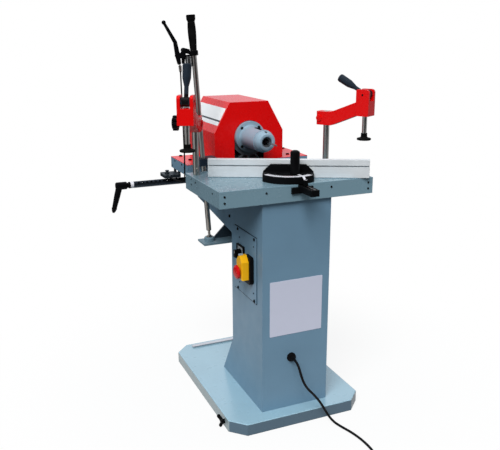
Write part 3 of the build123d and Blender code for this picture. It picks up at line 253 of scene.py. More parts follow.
def make_edge_group():
    """Mask of worn outer edges, broken up by noise."""
    group, entry, leave = new_group(
        "edge_wear", [("Width", VALUE, 0.0015), ("Amount", VALUE, 0.6)],
        [("Mask", VALUE)],
    )
    place = object_place(group)
    rounded = group.nodes.new("ShaderNodeBevel")
    rounded.samples = 4
    group.links.new(entry.outputs["Width"], rounded.inputs["Radius"])
    geometry = group.nodes.new("ShaderNodeNewGeometry")
    agree = vector_math(group, "DOT_PRODUCT", rounded.outputs["Normal"], geometry.outputs["Normal"])
    edge = spread(group, agree["Value"], 0.98, 0.75, 0.0, 1.0)
    breakup = spread(group, noise(group, place, 90.0, 5.0, 0.7), 0.45, 0.62, 0.0, 1.0)
    broken = arithmetic(group, "MULTIPLY", edge, breakup)
    mask = arithmetic(group, "MULTIPLY", broken, entry.outputs["Amount"])
    group.links.new(mask, leave.inputs["Mask"])
    return group


def make_ground_group():
    """Ground or drawn metal: fine lines along one direction, and faint stains."""
    group, entry, leave = new_group(
        "ground_lines",
        [("Stretch", VECTOR, (900.0, 900.0, 18.0)), ("Gloss", VALUE, 0.25)],
        [("Tone", VALUE), ("Roughness", VALUE), ("Height", VALUE)],
    )
    place = object_place(group)
    scaled = vector_math(group, "MULTIPLY", place, entry.outputs["Stretch"])
    lines = noise(group, scaled["Vector"], 1.0, 3.0, 0.6)
    stain = noise(group, place, 22.0, 4.0, 0.6)
    line_tone = spread(group, lines, 0.3, 0.7, 0.93, 1.0)
    stain_tone = spread(group, stain, 0.3, 0.7, -0.06, 0.02)
    tone = arithmetic(group, "ADD", line_tone, stain_tone)
    uneven = spread(group, stain, 0.3, 0.7, -0.03, 0.07)
    roughness = arithmetic(group, "ADD", uneven, entry.outputs["Gloss"])
    group.links.new(tone, leave.inputs["Tone"])
    group.links.new(roughness, leave.inputs["Roughness"])
    group.links.new(lines, leave.inputs["Height"])
    return group


def make_grain_group():
    """Moulded grain of plastic and rubber, with handled, shinier patches."""
    group, entry, leave = new_group(
        "moulded_grain",
        [("Tone", COLOUR, (0.02, 0.02, 0.02, 1)), ("Gloss", VALUE, 0.45),
         ("Grain", VALUE, 900.0), ("Pale", VALUE, 0.02)],
        [("Color", COLOUR), ("Roughness", VALUE), ("Height", VALUE)],
    )
    place = object_place(group)
    grain = group.nodes.new("ShaderNodeTexVoronoi")
    group.links.new(place, grain.inputs["Vector"])
    group.links.new(entry.outputs["Grain"], grain.inputs["Scale"])
    handled = noise(group, place, 35.0, 3.0)
    uneven = spread(group, handled, 0.3, 0.7, -0.08, 0.10)
    roughness = arithmetic(group, "ADD", uneven, entry.outputs["Gloss"])
    patches = spread(group, handled, 0.4, 0.75, 0.0, 1.0)
    pale = arithmetic(group, "MULTIPLY", patches, entry.outputs["Pale"])
    colour = blend_colours(group, pale, entry.outputs["Tone"], (0.30, 0.30, 0.30, 1))
    group.links.new(colour, leave.inputs["Color"])
    group.links.new(roughness, leave.inputs["Roughness"])
    group.links.new(grain.outputs["Distance"], leave.inputs["Height"])
    return group


def make_dust_group():
    """Mask of pale wood dust that settles on faces turned upwards."""
    group, entry, leave = new_group(
        "settled_dust", [("Amount", VALUE, 0.25)], [("Mask", VALUE)]
    )
    place = object_place(group)
    facing = group.nodes.new("ShaderNodeSeparateXYZ")
    geometry = group.nodes.new("ShaderNodeNewGeometry")
    group.links.new(geometry.outputs["Normal"], facing.inputs["Vector"])
    upward = spread(group, facing.outputs["Z"], 0.55, 0.98, 0.0, 1.0)
    patches = spread(group, noise(group, place, 14.0, 6.0, 0.7), 0.40, 0.72, 0.0, 1.0)
    settled = arithmetic(group, "MULTIPLY", upward, patches)
    mask = arithmetic(group, "MULTIPLY", settled, entry.outputs["Amount"])
    group.links.new(mask, leave.inputs["Mask"])
    return group


def make_reach_group():
    """Mask of what lies within a radius, behind some depth. A weight of nil makes it an axis."""
    group, entry, leave = new_group(
        "within_reach",
        [("Centre", VECTOR, (0, 0, 0)), ("Weights", VECTOR, (1, 1, 1)),
         ("Radius", VALUE, 0.02), ("Soft", VALUE, 0.0005),
         ("Behind", VALUE, -10.0)],
        [("Mask", VALUE)],
    )
    place = object_place(group)
    away = vector_math(group, "SUBTRACT", place, entry.outputs["Centre"])["Vector"]
    weighted = vector_math(group, "MULTIPLY", away, entry.outputs["Weights"])["Vector"]
    distance = vector_math(group, "LENGTH", weighted)["Value"]
    inside = arithmetic(group, "SUBTRACT", entry.outputs["Radius"], distance)
    parts = group.nodes.new("ShaderNodeSeparateXYZ")
    group.links.new(place, parts.inputs["Vector"])
    behind = arithmetic(group, "GREATER_THAN", parts.outputs["Y"], entry.outputs["Behind"])
    near = arithmetic(group, "DIVIDE", inside, entry.outputs["Soft"])
    near = spread(group, near, -1.0, 1.0, 0.0, 1.0)
    group.links.new(arithmetic(group, "MULTIPLY", near, behind), leave.inputs["Mask"])
    return group


BOX_SKIN = 0.0002


def make_box_group():
    """Mask of what lies inside a box."""
    group, entry, leave = new_group(
        "within_box",
        [("Centre", VECTOR, (0, 0, 0)), ("Half", VECTOR, (0.01, 0.01, 0.01))],
        [("Mask", VALUE)],
    )
    away = vector_math(group, "SUBTRACT", object_place(group), entry.outputs["Centre"])["Vector"]
    away = vector_math(group, "ABSOLUTE", away)["Vector"]
    past = vector_math(group, "SUBTRACT", away, entry.outputs["Half"])["Vector"]
    parts = group.nodes.new("ShaderNodeSeparateXYZ")
    group.links.new(past, parts.inputs["Vector"])
    furthest = arithmetic(group, "MAXIMUM", parts.outputs["X"], parts.outputs["Y"])
    furthest = arithmetic(group, "MAXIMUM", furthest, parts.outputs["Z"])
    group.links.new(arithmetic(group, "LESS_THAN", furthest, BOX_SKIN), leave.inputs["Mask"])
    return group


enamel_group = make_enamel_group()
edge_group = make_edge_group()
ground_group = make_ground_group()
grain_group = make_grain_group()
dust_group = make_dust_group()
reach_group = make_reach_group()
box_group = make_box_group()
print("node groups", [group.name for group in bpy.data.node_groups])

# %% [markdown]
# Each finish is then a short recipe: a group gives tone, gloss and height, and the shader of the
# material itself sets what is the same all over. A rounded-edge normal gives the sharp solid edges
# the small soft highlight that folded sheet and castings have. Where a part is darker or paler in
# one place, such as the hub of a cam lever, a mask blends in a second tone. Most such masks are
# painted light and shade: painted shade inside the spindle nose's bore, key window and grub hole,
# low on the nose, on the bracket's gusset and on the base's sides, and painted light on the base's
# left side.

# %% Recipes for finishes


def new_material(name):
    material = bpy.data.materials.new(name)
    material.use_nodes = True
    tree = material.node_tree
    return material, tree, tree.nodes["Principled BSDF"]


def place_group(tree, group, **values):
    node = tree.nodes.new("ShaderNodeGroup")
    node.node_tree = group
    for label, value in values.items():
        node.inputs[label].default_value = value
    return node


def relief(tree, shader, height, depth, edge_radius):
    """Bump from a height, over edges that are softly rounded."""
    rounded = tree.nodes.new("ShaderNodeBevel")
    rounded.samples = 4
    rounded.inputs["Radius"].default_value = edge_radius
    bump = tree.nodes.new("ShaderNodeBump")
    bump.inputs["Distance"].default_value = depth
    bump.inputs["Strength"].default_value = 0.5
    tree.links.new(height, bump.inputs["Height"])
    tree.links.new(rounded.outputs["Normal"], bump.inputs["Normal"])
    tree.links.new(bump.outputs["Normal"], shader.inputs["Normal"])


def shade_within(tree, colour, tone, **limits):
    """Another tone for what lies within reach of a point or an axis, or in a box."""
    inside = place_group(tree, box_group if "Half" in limits else reach_group, **limits)
    return blend_colours(tree, inside.outputs["Mask"], colour, tone)


bare_metal_tone = (0.55, 0.56, 0.57, 1)
dust_tone = (0.62, 0.60, 0.56, 1)


def enamel(name, tone, gloss=0.35, cloud=0.08, wear=0.3, dust=0.08, peel=0.00006, edge=0.0012,
           specular=0.5, uneven=1.0, within=()):
    """Enamelled metal with worn edges and a little dust."""
    material, tree, shader = new_material(name)
    skin = place_group(tree, enamel_group, Tone=tone, Gloss=gloss, Cloud=cloud,
                       Uneven=uneven)
    worn = place_group(tree, edge_group, Amount=wear)
    settled = place_group(tree, dust_group, Amount=dust)
    colour = blend_colours(tree, worn.outputs["Mask"], skin.outputs["Color"], bare_metal_tone)
    colour = blend_colours(tree, settled.outputs["Mask"], colour, dust_tone)
    for limits in within:
        colour = shade_within(tree, colour, **limits)
    tree.links.new(colour, shader.inputs["Base Color"])
    tree.links.new(skin.outputs["Roughness"], shader.inputs["Roughness"])
    shader.inputs["Specular IOR Level"].default_value = specular
    relief(tree, shader, skin.outputs["Height"], peel, edge)
    return material


along_z, along_x, along_y = (900.0, 900.0, 18.0), (18.0, 900.0, 900.0), (900.0, 18.0, 900.0)


def metal(name, tone, gloss=0.25, stretch=along_z, depth=0.00001, edge=0.0008, metallic=1.0):
    """Ground or drawn bare metal."""
    material, tree, shader = new_material(name)
    lines = place_group(tree, ground_group, Stretch=stretch, Gloss=gloss)
    shade = tree.nodes.new("ShaderNodeVectorMath")
    shade.operation = "SCALE"
    shade.inputs[0].default_value = tone[:3]
    tree.links.new(lines.outputs["Tone"], shade.inputs["Scale"])
    tree.links.new(shade.outputs["Vector"], shader.inputs["Base Color"])
    tree.links.new(lines.outputs["Roughness"], shader.inputs["Roughness"])
    shader.inputs["Metallic"].default_value = metallic
    relief(tree, shader, lines.outputs["Height"], depth, edge)
    return material


moulded_edge = 0.0008


def moulded(name, tone, gloss=0.45, grain=900.0, depth=0.00004, specular=0.5, pale=0.02,
            within=()):
    """Moulded plastic or rubber."""
    material, tree, shader = new_material(name)
    skin = place_group(tree, grain_group, Tone=tone, Gloss=gloss, Grain=grain, Pale=pale)
    colour = skin.outputs["Color"]
    for limits in within:
        colour = shade_within(tree, colour, **limits)
    tree.links.new(colour, shader.inputs["Base Color"])
    tree.links.new(skin.outputs["Roughness"], shader.inputs["Roughness"])
    shader.inputs["Specular IOR Level"].default_value = specular
    relief(tree, shader, skin.outputs["Height"], depth, moulded_edge)
    return material


def coat_above(material, level):
    """A thick gloss on whatever lies higher than a level."""
    tree = material.node_tree
    shader = tree.nodes["Principled BSDF"]
    below = place_group(tree, reach_group, Weights=(0, 0, 1), Radius=level)
    above = arithmetic(tree, "SUBTRACT", 1.0, below.outputs["Mask"])
    tree.links.new(above, shader.inputs["Coat Weight"])
    shader.inputs["Coat IOR"].default_value = 1.8
    shader.inputs["Coat Roughness"].default_value = 0.25


print("recipes ready")

# %% Finishes of the machine
# Near-black tone: the cam levers' dark hubs, and painted shade in the spindle nose's bore, key
# window and grub hole.
black_iron_and_shade = (0.004, 0.004, 0.0045, 1)
stand_enamel = enamel("stand_enamel", (0.160, 0.280, 0.390, 1), gloss=0.38, specular=0.3)
# The base's enamel is paler than the stand's, painted light for the strong light on its top. Below
# the rim its sides get a darker tone, painted shade, and its left side a pale warm grey, painted
# light.
rim_height = 0.0395
base_sides_painted_shade = {"tone": (0.090, 0.145, 0.195, 1), "Weights": (0, 0, 1), "Radius": rim_height}
base_left_painted_light = {"tone": (0.32, 0.39, 0.41, 1), "Centre": (-0.25, 0.05, 0.0195),
                  "Half": (0.002, 0.45, 0.0195)}
base_enamel = enamel("base_enamel", (0.320, 0.505, 0.610, 1), gloss=0.30, wear=0.1, dust=0.0,
                     edge=0.0025, specular=0.3, within=[base_sides_painted_shade, base_left_painted_light])
coat_above(base_enamel, rim_height)
table_enamel = enamel("table_enamel", (0.192, 0.308, 0.375, 1), gloss=0.27, cloud=0.03, wear=0.1,
                      dust=0.0, peel=0.000004, uneven=0.15)
red_enamel = enamel("red_enamel", (0.80, 0.002, 0.002, 1), gloss=0.27, cloud=0.0, wear=0.06,
                    dust=0.0, peel=0.00001, specular=0.3, uneven=0.3)
# Painted shade on the spindle housing: a dark band low on the nose, and near-black in the bore, the
# key window and round the grub screw's hole.
underside_painted_shade = {"tone": (0.03, 0.04, 0.05, 1), "Centre": (0, 0, 0.872), "Weights": (0, 0, 1),
             "Radius": 0.040, "Soft": 0.025}
bore_painted_shade = {"tone": black_iron_and_shade, "Centre": (0, 0, 0.932), "Weights": (1, 0, 1), "Radius": 0.0245,
        "Behind": -0.0388}
key_window_painted_shade = {"tone": black_iron_and_shade, "Centre": (0.0125, 0.030, 0.962), "Half": (0.0185, 0.029, 0.018)}
grub_hole_painted_shade = {"tone": black_iron_and_shade, "Centre": (0, -0.0305, 0.967), "Weights": (1, 0.7, 0.2),
             "Radius": 0.0046}
housing_enamel = enamel("housing_enamel", (0.30, 0.425, 0.525, 1), gloss=0.34, cloud=0.10,
                        peel=0.0002, within=[underside_painted_shade, bore_painted_shade, key_window_painted_shade, grub_hole_painted_shade])
# Painted shade: the gusset of the fulcrum bracket, in the shadow under the console, gets a dark
# tone.
gusset_painted_shade = {"tone": (0.030, 0.048, 0.065, 1), "Centre": (-0.090, 0.1135, 0.602),
          "Half": (0.062, 0.005, 0.0395)}
shelf_enamel = enamel("shelf_enamel", (0.17, 0.27, 0.33, 1), gloss=0.40, within=[gusset_painted_shade])
# Painted shade: the lever block's enamel is a grey-blue darkened to near black for the shadow it
# sits in.
painted_shade_enamel = enamel("painted_shade_enamel", (0.012, 0.024, 0.042, 1), gloss=0.42, wear=0.2, dust=0.03,
                     specular=0.3)
latch_grey = enamel("latch_grey", (0.011, 0.015, 0.019, 1), gloss=0.45, cloud=0.1, peel=0.0003,
                    specular=0.3)
cast_grey = enamel("cast_grey", (0.055, 0.060, 0.066, 1), gloss=0.6, cloud=0.3, peel=0.0005,
                   specular=0.3)
black_satin = enamel("black_satin", (0.0035, 0.0035, 0.004, 1), gloss=0.45, cloud=0.02, wear=0.04,
                     dust=0.0, specular=0.06)
bar_steel = metal("bar_steel", (0.70, 0.65, 0.58, 1), gloss=0.30)
cross_steel = metal("cross_steel", (0.60, 0.59, 0.56, 1), gloss=0.24, stretch=along_x)
depth_steel = metal("depth_steel", (0.55, 0.55, 0.54, 1), gloss=0.26, stretch=along_y)
strip_steel = metal("strip_steel", (0.80, 0.78, 0.80, 1), gloss=0.30, stretch=along_x)
blued_steel = metal("blued_steel", (0.035, 0.045, 0.060, 1), gloss=0.35, stretch=along_x,
                    edge=0.0002, metallic=0.8)
fence_aluminium = metal("fence_aluminium", (0.90, 0.94, 0.97, 1), gloss=0.48,
                        stretch=(14.0, 14.0, 700.0), metallic=0.25)
black_plastic = moulded("black_plastic", (0.0035, 0.0035, 0.004, 1), gloss=0.42, specular=0.06,
                        pale=0.006)
slate_tone = (0.014, 0.022, 0.034, 1)
slate_plastic = moulded("slate_plastic", slate_tone, gloss=0.40, specular=0.25)
black_rubber = moulded("black_rubber", (0.004, 0.004, 0.004, 1), gloss=0.6, grain=500.0,
                       depth=0.00012, specular=0.04)
lead_rubber = moulded("lead_rubber", (0.004, 0.004, 0.0045, 1), gloss=0.5, grain=350.0,
                      depth=0.0001, specular=0.12)
yellow_plastic = moulded("yellow_plastic", (0.95, 0.48, 0.006, 1), gloss=0.35, pale=0.0,
                         specular=0.3)
red_plastic = moulded("red_plastic", (0.62, 0.004, 0.006, 1), gloss=0.30, pale=0.0,
                      specular=0.25)
white_plastic = moulded("white_plastic", (0.73, 0.73, 0.78, 1), gloss=0.4)
plate_plastic = moulded("plate_plastic", (0.625, 0.645, 0.78, 1), gloss=0.4)
hood_plastic = moulded("hood_plastic", (0.93, 0.95, 0.97, 1), gloss=0.4, pale=0.0)
pale_plastic = moulded("pale_plastic", (0.36, 0.40, 0.43, 1), gloss=0.45)
bronze = metal("bronze", (0.50, 0.33, 0.14, 1), gloss=0.35)
cam_pins = {"left": (-0.32157, -0.14182, 1.095), "right": (0.32949, -0.13721, 1.090)}
cam_finishes = {}
for side, pin in cam_pins.items():
    hub = {"tone": black_iron_and_shade, "Centre": pin, "Radius": 0.022}
    cam_finishes[side] = moulded(side + "_cam_plastic", slate_tone, gloss=0.40, specular=0.25,
                                 within=[hub])
print("materials", len(bpy.data.materials))

# %% [markdown]
# Now the finishes go onto the solid parts. The list reads like a paint plan: which enamel, steel
# or plastic each part of the machine has.

# %% Paint plan
paint_plan = {
    stand_enamel: ["column", "rear_console", "slide_box", "switch_plate"],
    base_enamel: ["base_tray"],
    table_enamel: ["table_plate", "table_apron"],
    red_enamel: ["slide_cover", "hood", "left_arm", "right_arm"],
    housing_enamel: ["spindle_housing"],
    shelf_enamel: ["fulcrum_bracket", "fulcrum_socket"],
    painted_shade_enamel: ["lever_block"],
    latch_grey: ["latch_bracket"],
    cast_grey: ["y_carriage", "motor"],
    black_satin: ["guide_bracket", "guide_bar", "protractor", "brake_perch", "brake_lever",
                  "chuck"],
    bar_steel: ["lever_bar", "lever_foot", "left_post", "right_post", "left_plunger",
                "right_plunger"],
    cross_steel: ["x_rails"],
    depth_steel: ["y_rails", "bit"],
    strip_steel: ["base_strip"],
    blued_steel: ["index_bar", "latch_pin"],
    fence_aluminium: ["fence"],
    black_plastic: ["base_wing", "lock_knob", "index_lever", "switch_base", "selector_bezel",
                    "selector_knob", "cord_gland", "left_arm_knob", "right_arm_knob",
                    "cord_plug"],
    cam_finishes["left"]: ["left_cam_lever"],
    cam_finishes["right"]: ["right_cam_lever"],
    black_rubber: ["lever_grip", "brake_cable", "left_foot", "right_foot"],
    yellow_plastic: ["switch_cover"],
    red_plastic: ["stop_button"],
    white_plastic: ["index_ring"],
    bronze: ["fulcrum_liner"],
}
for finish, names in paint_plan.items():
    for name in names:
        mesh = nodes[name].data
        mesh.materials.clear()
        mesh.materials.append(finish)
painted = sum(len(names) for names in paint_plan.values())
print("parts with a finish", painted, "of", len(nodes))

# %% Finish of the mains lead
lead_curve.materials.append(lead_rubber)
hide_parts("mains_cord", "cord_coil")
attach(mains_lead, "stand")

# %% [markdown]
# Small pieces next. Each one is built in place, in the frame's own metres, from rings of points:
# a turned profile for screws, caps and sleeves, and an outline with bevelled edges for plates. As
# geometry they also show in the exported meshes, which a painted dot would not.

# %% Helpers for small pieces


def new_piece(name, builder, body, finish):
    """Object from a bmesh, riding on a body, with a finish."""
    bmesh.ops.recalc_face_normals(builder, faces=builder.faces)
    mesh = bpy.data.meshes.new(name)
    builder.to_mesh(mesh)
    builder.free()
    mesh.materials.append(finish)
    piece = bpy.data.objects.new(name, mesh)
    scene.collection.objects.link(piece)
    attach(piece, body)
    return piece


def add_rings(builder, rings, hollow=False):
    """Skins a row of closed rings. The ends get caps, or meet where the form is hollow."""
    loops = [[builder.verts.new(point * MM) for point in ring] for ring in rings]
    following_loops = loops[1:] + loops[:1] if hollow else loops[1:]
    for lower, upper in zip(loops, following_loops):
        for index in range(len(lower)):
            following = (index + 1) % len(lower)
            builder.faces.new((lower[index], lower[following], upper[following],
                               upper[index]))
    if not hollow:
        builder.faces.new(reversed(loops[0]))
        builder.faces.new(loops[-1])


def add_turned(builder, profile, centre, axis, segments=24, hollow=False):
    """Turned form: radius and height pairs along an axis, in millimetres."""
    axis = Vector(axis).normalized()
    side = axis.orthogonal().normalized()
    other = axis.cross(side)
    turns = [2 * pi * index / segments for index in range(segments)]
    rings = []
    for radius, height in profile:
        middle = Vector(centre) + axis * height
        rings.append([middle + (side * cos(turn) + other * sin(turn)) * radius
                      for turn in turns])
    add_rings(builder, rings, hollow)


def add_plate(builder, outline, centre, across, up, thickness, bevel=0.4):
    """Flat plate from an outline of points, with a small bevel round its outer face."""
    across = Vector(across).normalized()
    up = Vector(up).normalized()
    outward = across.cross(up)
    middle = Vector((sum(x for x, _ in outline), sum(y for _, y in outline), 0)) / len(outline)
    rings = []
    for height, inset in ((0, 0), (thickness - bevel, 0), (thickness, bevel)):
        ring = []
        for point in outline:
            flat = Vector((*point, 0))
            flat += (middle - flat).normalized() * inset
            ring.append(Vector(centre) + across * flat.x + up * flat.y + outward * height)
        rings.append(ring)
    add_rings(builder, rings)


def rounded_rectangle(width, height, corner, steps=5):
    """Outline of a rectangle with round corners, counted anticlockwise."""
    outline = []
    for index, (side_x, side_y) in enumerate(((1, 1), (-1, 1), (-1, -1), (1, -1))):
        for step in range(steps + 1):
            turn = pi / 2 * (index + step / steps)
            outline.append((side_x * (width / 2 - corner) + corner * cos(turn),
                            side_y * (height / 2 - corner) + corner * sin(turn)))
    return outline


print("piece helpers ready")

# %% [markdown]
# Two bare plates: a white square on the column's front, and a white plate with a grey band on the
# hood's left slope. They are thin sheets stuck on, so a sliver of thickness and a bevelled rim
# are enough to catch the light.

# %% Bare plates
column_plate_size = 195
column_plate = bmesh.new()
add_plate(column_plate, rounded_rectangle(column_plate_size, column_plate_size, 3),
          (0.5, -276, 413.5), (1, 0, 0), (0, 0, 1), 0.8)
new_piece("column_plate", column_plate, "stand", plate_plastic)
slope_low = Vector((-135, 259, 950))
slope_up = Vector((60, 0, 108)).normalized()
slope_length = 123.5
hood_plate_length = 272
hood_plates = (
    ("hood_plate", 0.41, 0.795, hood_plastic, "white_plastic"),
    ("hood_plate_band", 0.36, 0.41, slate_plastic, "dark_paint"),
    ("hood_plate_foot", 0.24, 0.36, hood_plastic, "white_plastic"),
)
for name, low, high, finish, slot in hood_plates:
    builder = bmesh.new()
    tall = (high - low) * slope_length
    centre = slope_low + slope_up * (low + high) / 2 * slope_length
    add_plate(builder, rounded_rectangle(hood_plate_length, tall, 1.5), centre, (0, -1, 0),
              slope_up, 0.6, 0.2)
    new_piece(name, builder, "slide", finish)
print("bare plates", 1 + len(hood_plates))

# %% [markdown]
# Screws. The photo shows them as dark dots on the table's apron, the slide and the switch plate:
# black socket screws with a low round head. One profile, turned round the screw's axis, makes
# them all, and screws on one body are one mesh, so that they stay a single piece.

# %% Screws
head_profile = ((0.05, 0.9), (1.7, 0.9), (1.7, 1.9), (2.6, 2.0), (3.5, 1.3), (3.8, 0.3),
                (3.8, -0.5), (0.05, -0.5))
apron_front, apron_side, console_side, switch_face = -288.5, 273.5, 120, -127
slide_side, slide_top = 241, 845
head_segments = 16


def add_screws(builder, places, axis, size=1.0):
    profile = [(radius * size, height * size) for radius, height in head_profile]
    for place in places:
        add_turned(builder, profile, place, axis, head_segments)


stand_screws = bmesh.new()
front_places = ((256, 817), (256, 797), (116, 815.5))
front_screws = [(side * x, apron_front, z) for side in (-1, 1) for x, z in front_places]
add_screws(stand_screws, front_screws, (0, -1, 0), 0.95)
side_screws = ((-25, 824), (-25, 805), (-68, 820), (-230.5, 817.6))
console_screws = ((16, 668.5), (300, 690))
for side in (-1, 1):
    add_screws(stand_screws, [(side * apron_side, y, z) for y, z in side_screws],
               (side, 0, 0), 0.75)
    add_screws(stand_screws, [(side * console_side, y, z) for y, z in console_screws],
               (side, 0, 0), 1.6)
switch_screws = [(switch_face, y, z) for y in (-218, -77) for z in (431, 646.5)]
add_screws(stand_screws, switch_screws, (-1, 0, 0), 1.5)
small_screws = [(switch_face, y, z) for y in (-212, -91) for z in (456.5, 620)]
add_screws(stand_screws, small_screws, (-1, 0, 0), 0.75)
new_piece("stand_screws", stand_screws, "stand", black_satin)
slide_screws = bmesh.new()
flank_screws = ((260, 836), (177, 836), (300, 812))
for side in (-1, 1):
    add_screws(slide_screws, [(side * slide_side, y, z) for y, z in flank_screws], (side, 0, 0))
top_screws = ((-206, 300), (-200, 205), (226, 298), (182, 166))
add_screws(slide_screws, [(x, y, slide_top) for x, y in top_screws], (0, 0, 1), 1.9)
new_piece("slide_screws", slide_screws, "slide", black_satin)
both_sides = len(side_screws) + len(console_screws) + len(flank_screws)
one_side = len(front_screws) + len(switch_screws) + len(small_screws) + len(top_screws)
print("screws", 2 * both_sides + one_side)

# %% [markdown]
# The spindle nose is bolted on with four socket screws in its flange, and a small grub screw sits
# in the nose. Their sockets are real hollows, because this casting is the centre of the picture.
# A conical ring narrows the mouth round the drill, so that chips stay out of the chuck.

# %% Bolts and mouth of the spindle nose
bolt_profile = ((0.05, -1.5), (2.3, -1.5), (2.3, 2.2), (4.5, 2.2), (5.2, 1.5), (5.2, 0.1),
                (3.9, 0.1), (3.9, -5.0), (0.05, -5.0))
grub_profile = ((0.05, -3), (1.6, -3), (1.6, 0), (3.8, 0), (3.8, -6), (0.05, -6))
mouth_profile = ((17.9, -38.8), (11.5, -31.0), (11.5, -29.5), (17.9, -29.5))
spindle_height = 932
bolt_circle = 47.5
flange_face = 104
nose_bolts = bmesh.new()
for turn in (45, 135, 225, 315):
    x = bolt_circle * cos(radians(turn))
    z = spindle_height + bolt_circle * sin(radians(turn))
    add_turned(nose_bolts, bolt_profile, (x, flange_face, z), (0, -1, 0), 18)
add_turned(nose_bolts, grub_profile, (0, -28, 966), (0, 0, 1), 18)
new_piece("nose_bolts", nose_bolts, "slide", black_satin)
mouth_ring = bmesh.new()
add_turned(mouth_ring, mouth_profile, (0, 0, spindle_height), (0, 1, 0), 40, hollow=True)
new_piece("mouth_ring", mouth_ring, "slide", cast_grey)
print("nose pieces", 2)

# %% [markdown]
# The mitre scale is a white band near the front rim of the black half-round. It follows the rim,
# so it is swept by angle about the fence's pivot. Fine dark lines stand on it every five degrees,
# longer every fifteen, and the middle ones are red, as on the machine.

# %% Mitre scale
pivot = Vector((8, -190, 857))
fence_turn = radians(-26.5)


def on_protractor(radius, turn, lift=0.0):
    """Point on the protractor's top at a turn from its front."""
    angle = fence_turn - pi / 2 + turn
    return pivot + Vector((radius * cos(angle), radius * sin(angle), lift))


def add_arc_band(builder, inner, outer, start, end, low, high, steps):
    """Curved strip between two radii."""
    rings = []
    for step in range(steps + 1):
        turn = start + (end - start) * step / steps
        rings.append([on_protractor(inner, turn, low), on_protractor(outer, turn, low),
                      on_protractor(outer, turn, high), on_protractor(inner, turn, high)])
    add_rings(builder, rings)


scale_reach = radians(54)
band_top = 0.4
line_half = 0.007
scale_band = bmesh.new()
add_arc_band(scale_band, 77.0, 96.0, -scale_reach, scale_reach, 0, band_top, 48)
new_piece("scale_band", scale_band, "mitre_fence", white_plastic)
outer_degrees = [*range(-50, -14, 5), *range(15, 51, 5)]
middle_degrees = [*range(-10, 11, 5)]
for name, finish, slot, degrees in (("scale_lines", black_satin, "black_metal", outer_degrees),
                                    ("scale_middle", red_plastic, "red_plastic", middle_degrees)):
    lines = bmesh.new()
    for degree in degrees:
        outer = 88.0 if degree % 15 == 0 else 84.0
        turn = radians(degree)
        add_arc_band(lines, 77.5, outer, turn - line_half, turn + line_half, band_top, 0.6, 1)
    new_piece(name, lines, "mitre_fence", finish)
print("scale lines", len(outer_degrees) + len(middle_degrees))

# %% [markdown]
# The pointer of the mitre scale is a narrow white strip, bent over the half-round's rim. It
# stands on a black block on the guide bar and is held by one screw. A bright steel strip lies in
# the guide bar's groove.

# %% Pointer and guide strip
pointer = bmesh.new()
pointer_upper = [(-257, 859.2), (-291, 859.2), (-302, 851.5), (-311, 851.5)]
pointer_lower = [(-257, 858.1), (-290.4, 858.1), (-301.6, 850.2), (-311, 850.2)]
pointer_left, pointer_right = 7.5, 15
rings = []
for (upper_y, upper_z), (lower_y, lower_z) in zip(pointer_upper, pointer_lower):
    corners = ((pointer_left, upper_y, upper_z), (pointer_right, upper_y, upper_z),
               (pointer_right, lower_y, lower_z), (pointer_left, lower_y, lower_z))
    rings.append([Vector(corner) for corner in corners])
add_rings(pointer, rings)
new_piece("scale_pointer", pointer, "mitre_guide", white_plastic)
pointer_stand = bmesh.new()
add_plate(pointer_stand, rounded_rectangle(13, 13, 2), (11, -306, 831.9), (1, 0, 0), (0, 1, 0),
          18.2, 0.8)
add_screws(pointer_stand, [(11.2, -307, 851.5)], (0, 0, 1), 0.7)
new_piece("pointer_stand", pointer_stand, "mitre_guide", black_satin)
guide_strip = bmesh.new()
add_plate(guide_strip, rounded_rectangle(3, 66, 1.2), (10.5, -340, 832), (1, 0, 0), (0, 1, 0),
          0.5, 0.15)
new_piece("guide_strip", guide_strip, "mitre_guide", depth_steel)
print("pointer parts", 3)

# %% [markdown]
# The clamps' forks carry the ends of their cam pins as small black caps. The boss of each arm has
# a screw end that was painted over with the arm. Both are placed with each arm's own turn about
# its post.

# %% Caps on the clamp arms
arm_places = {"left": ((-250, -10, 982), -118.5, 1), "right": ((250, -10, 977), -58.0, -1)}
screw_profile = ((0.05, 0.3), (1.6, 0.3), (1.8, 1.0), (4.2, 1.0), (5.0, 0.4), (5.0, -0.6),
                 (0.05, -0.6))
cap_profile = [(radius * 0.7, height) for radius, height in screw_profile]
pin_reach, fork_half, pin_rise = 150, 26, Vector((0, 0, 113))
screw_back, boss_half, screw_rise = 20, 23, Vector((0, 0, 24))
for side, (post, turn, screw_side) in arm_places.items():
    along = Vector((cos(radians(turn)), sin(radians(turn)), 0))
    across = Vector((-along.y, along.x, 0))
    caps = bmesh.new()
    for face in (-1, 1):
        pin_end = Vector(post) + along * pin_reach + across * face * fork_half + pin_rise
        add_turned(caps, cap_profile, pin_end, across * face)
    new_piece(side + "_arm_caps", caps, side + "_clamp", black_satin)
    screw = bmesh.new()
    screw_end = Vector(post) - along * screw_back + across * screw_side * boss_half + screw_rise
    add_turned(screw, screw_profile, screw_end, across * screw_side)
    new_piece(side + "_arm_screw", screw, side + "_clamp", red_enamel)
print("arms with caps and a screw", len(arm_places))

# %% [markdown]
# The release lever's perch holds a bare metal barrel, and its cable starts in a bright ferrule.
# Both ride on the joystick: their places are counted along it from its ball and out from it.

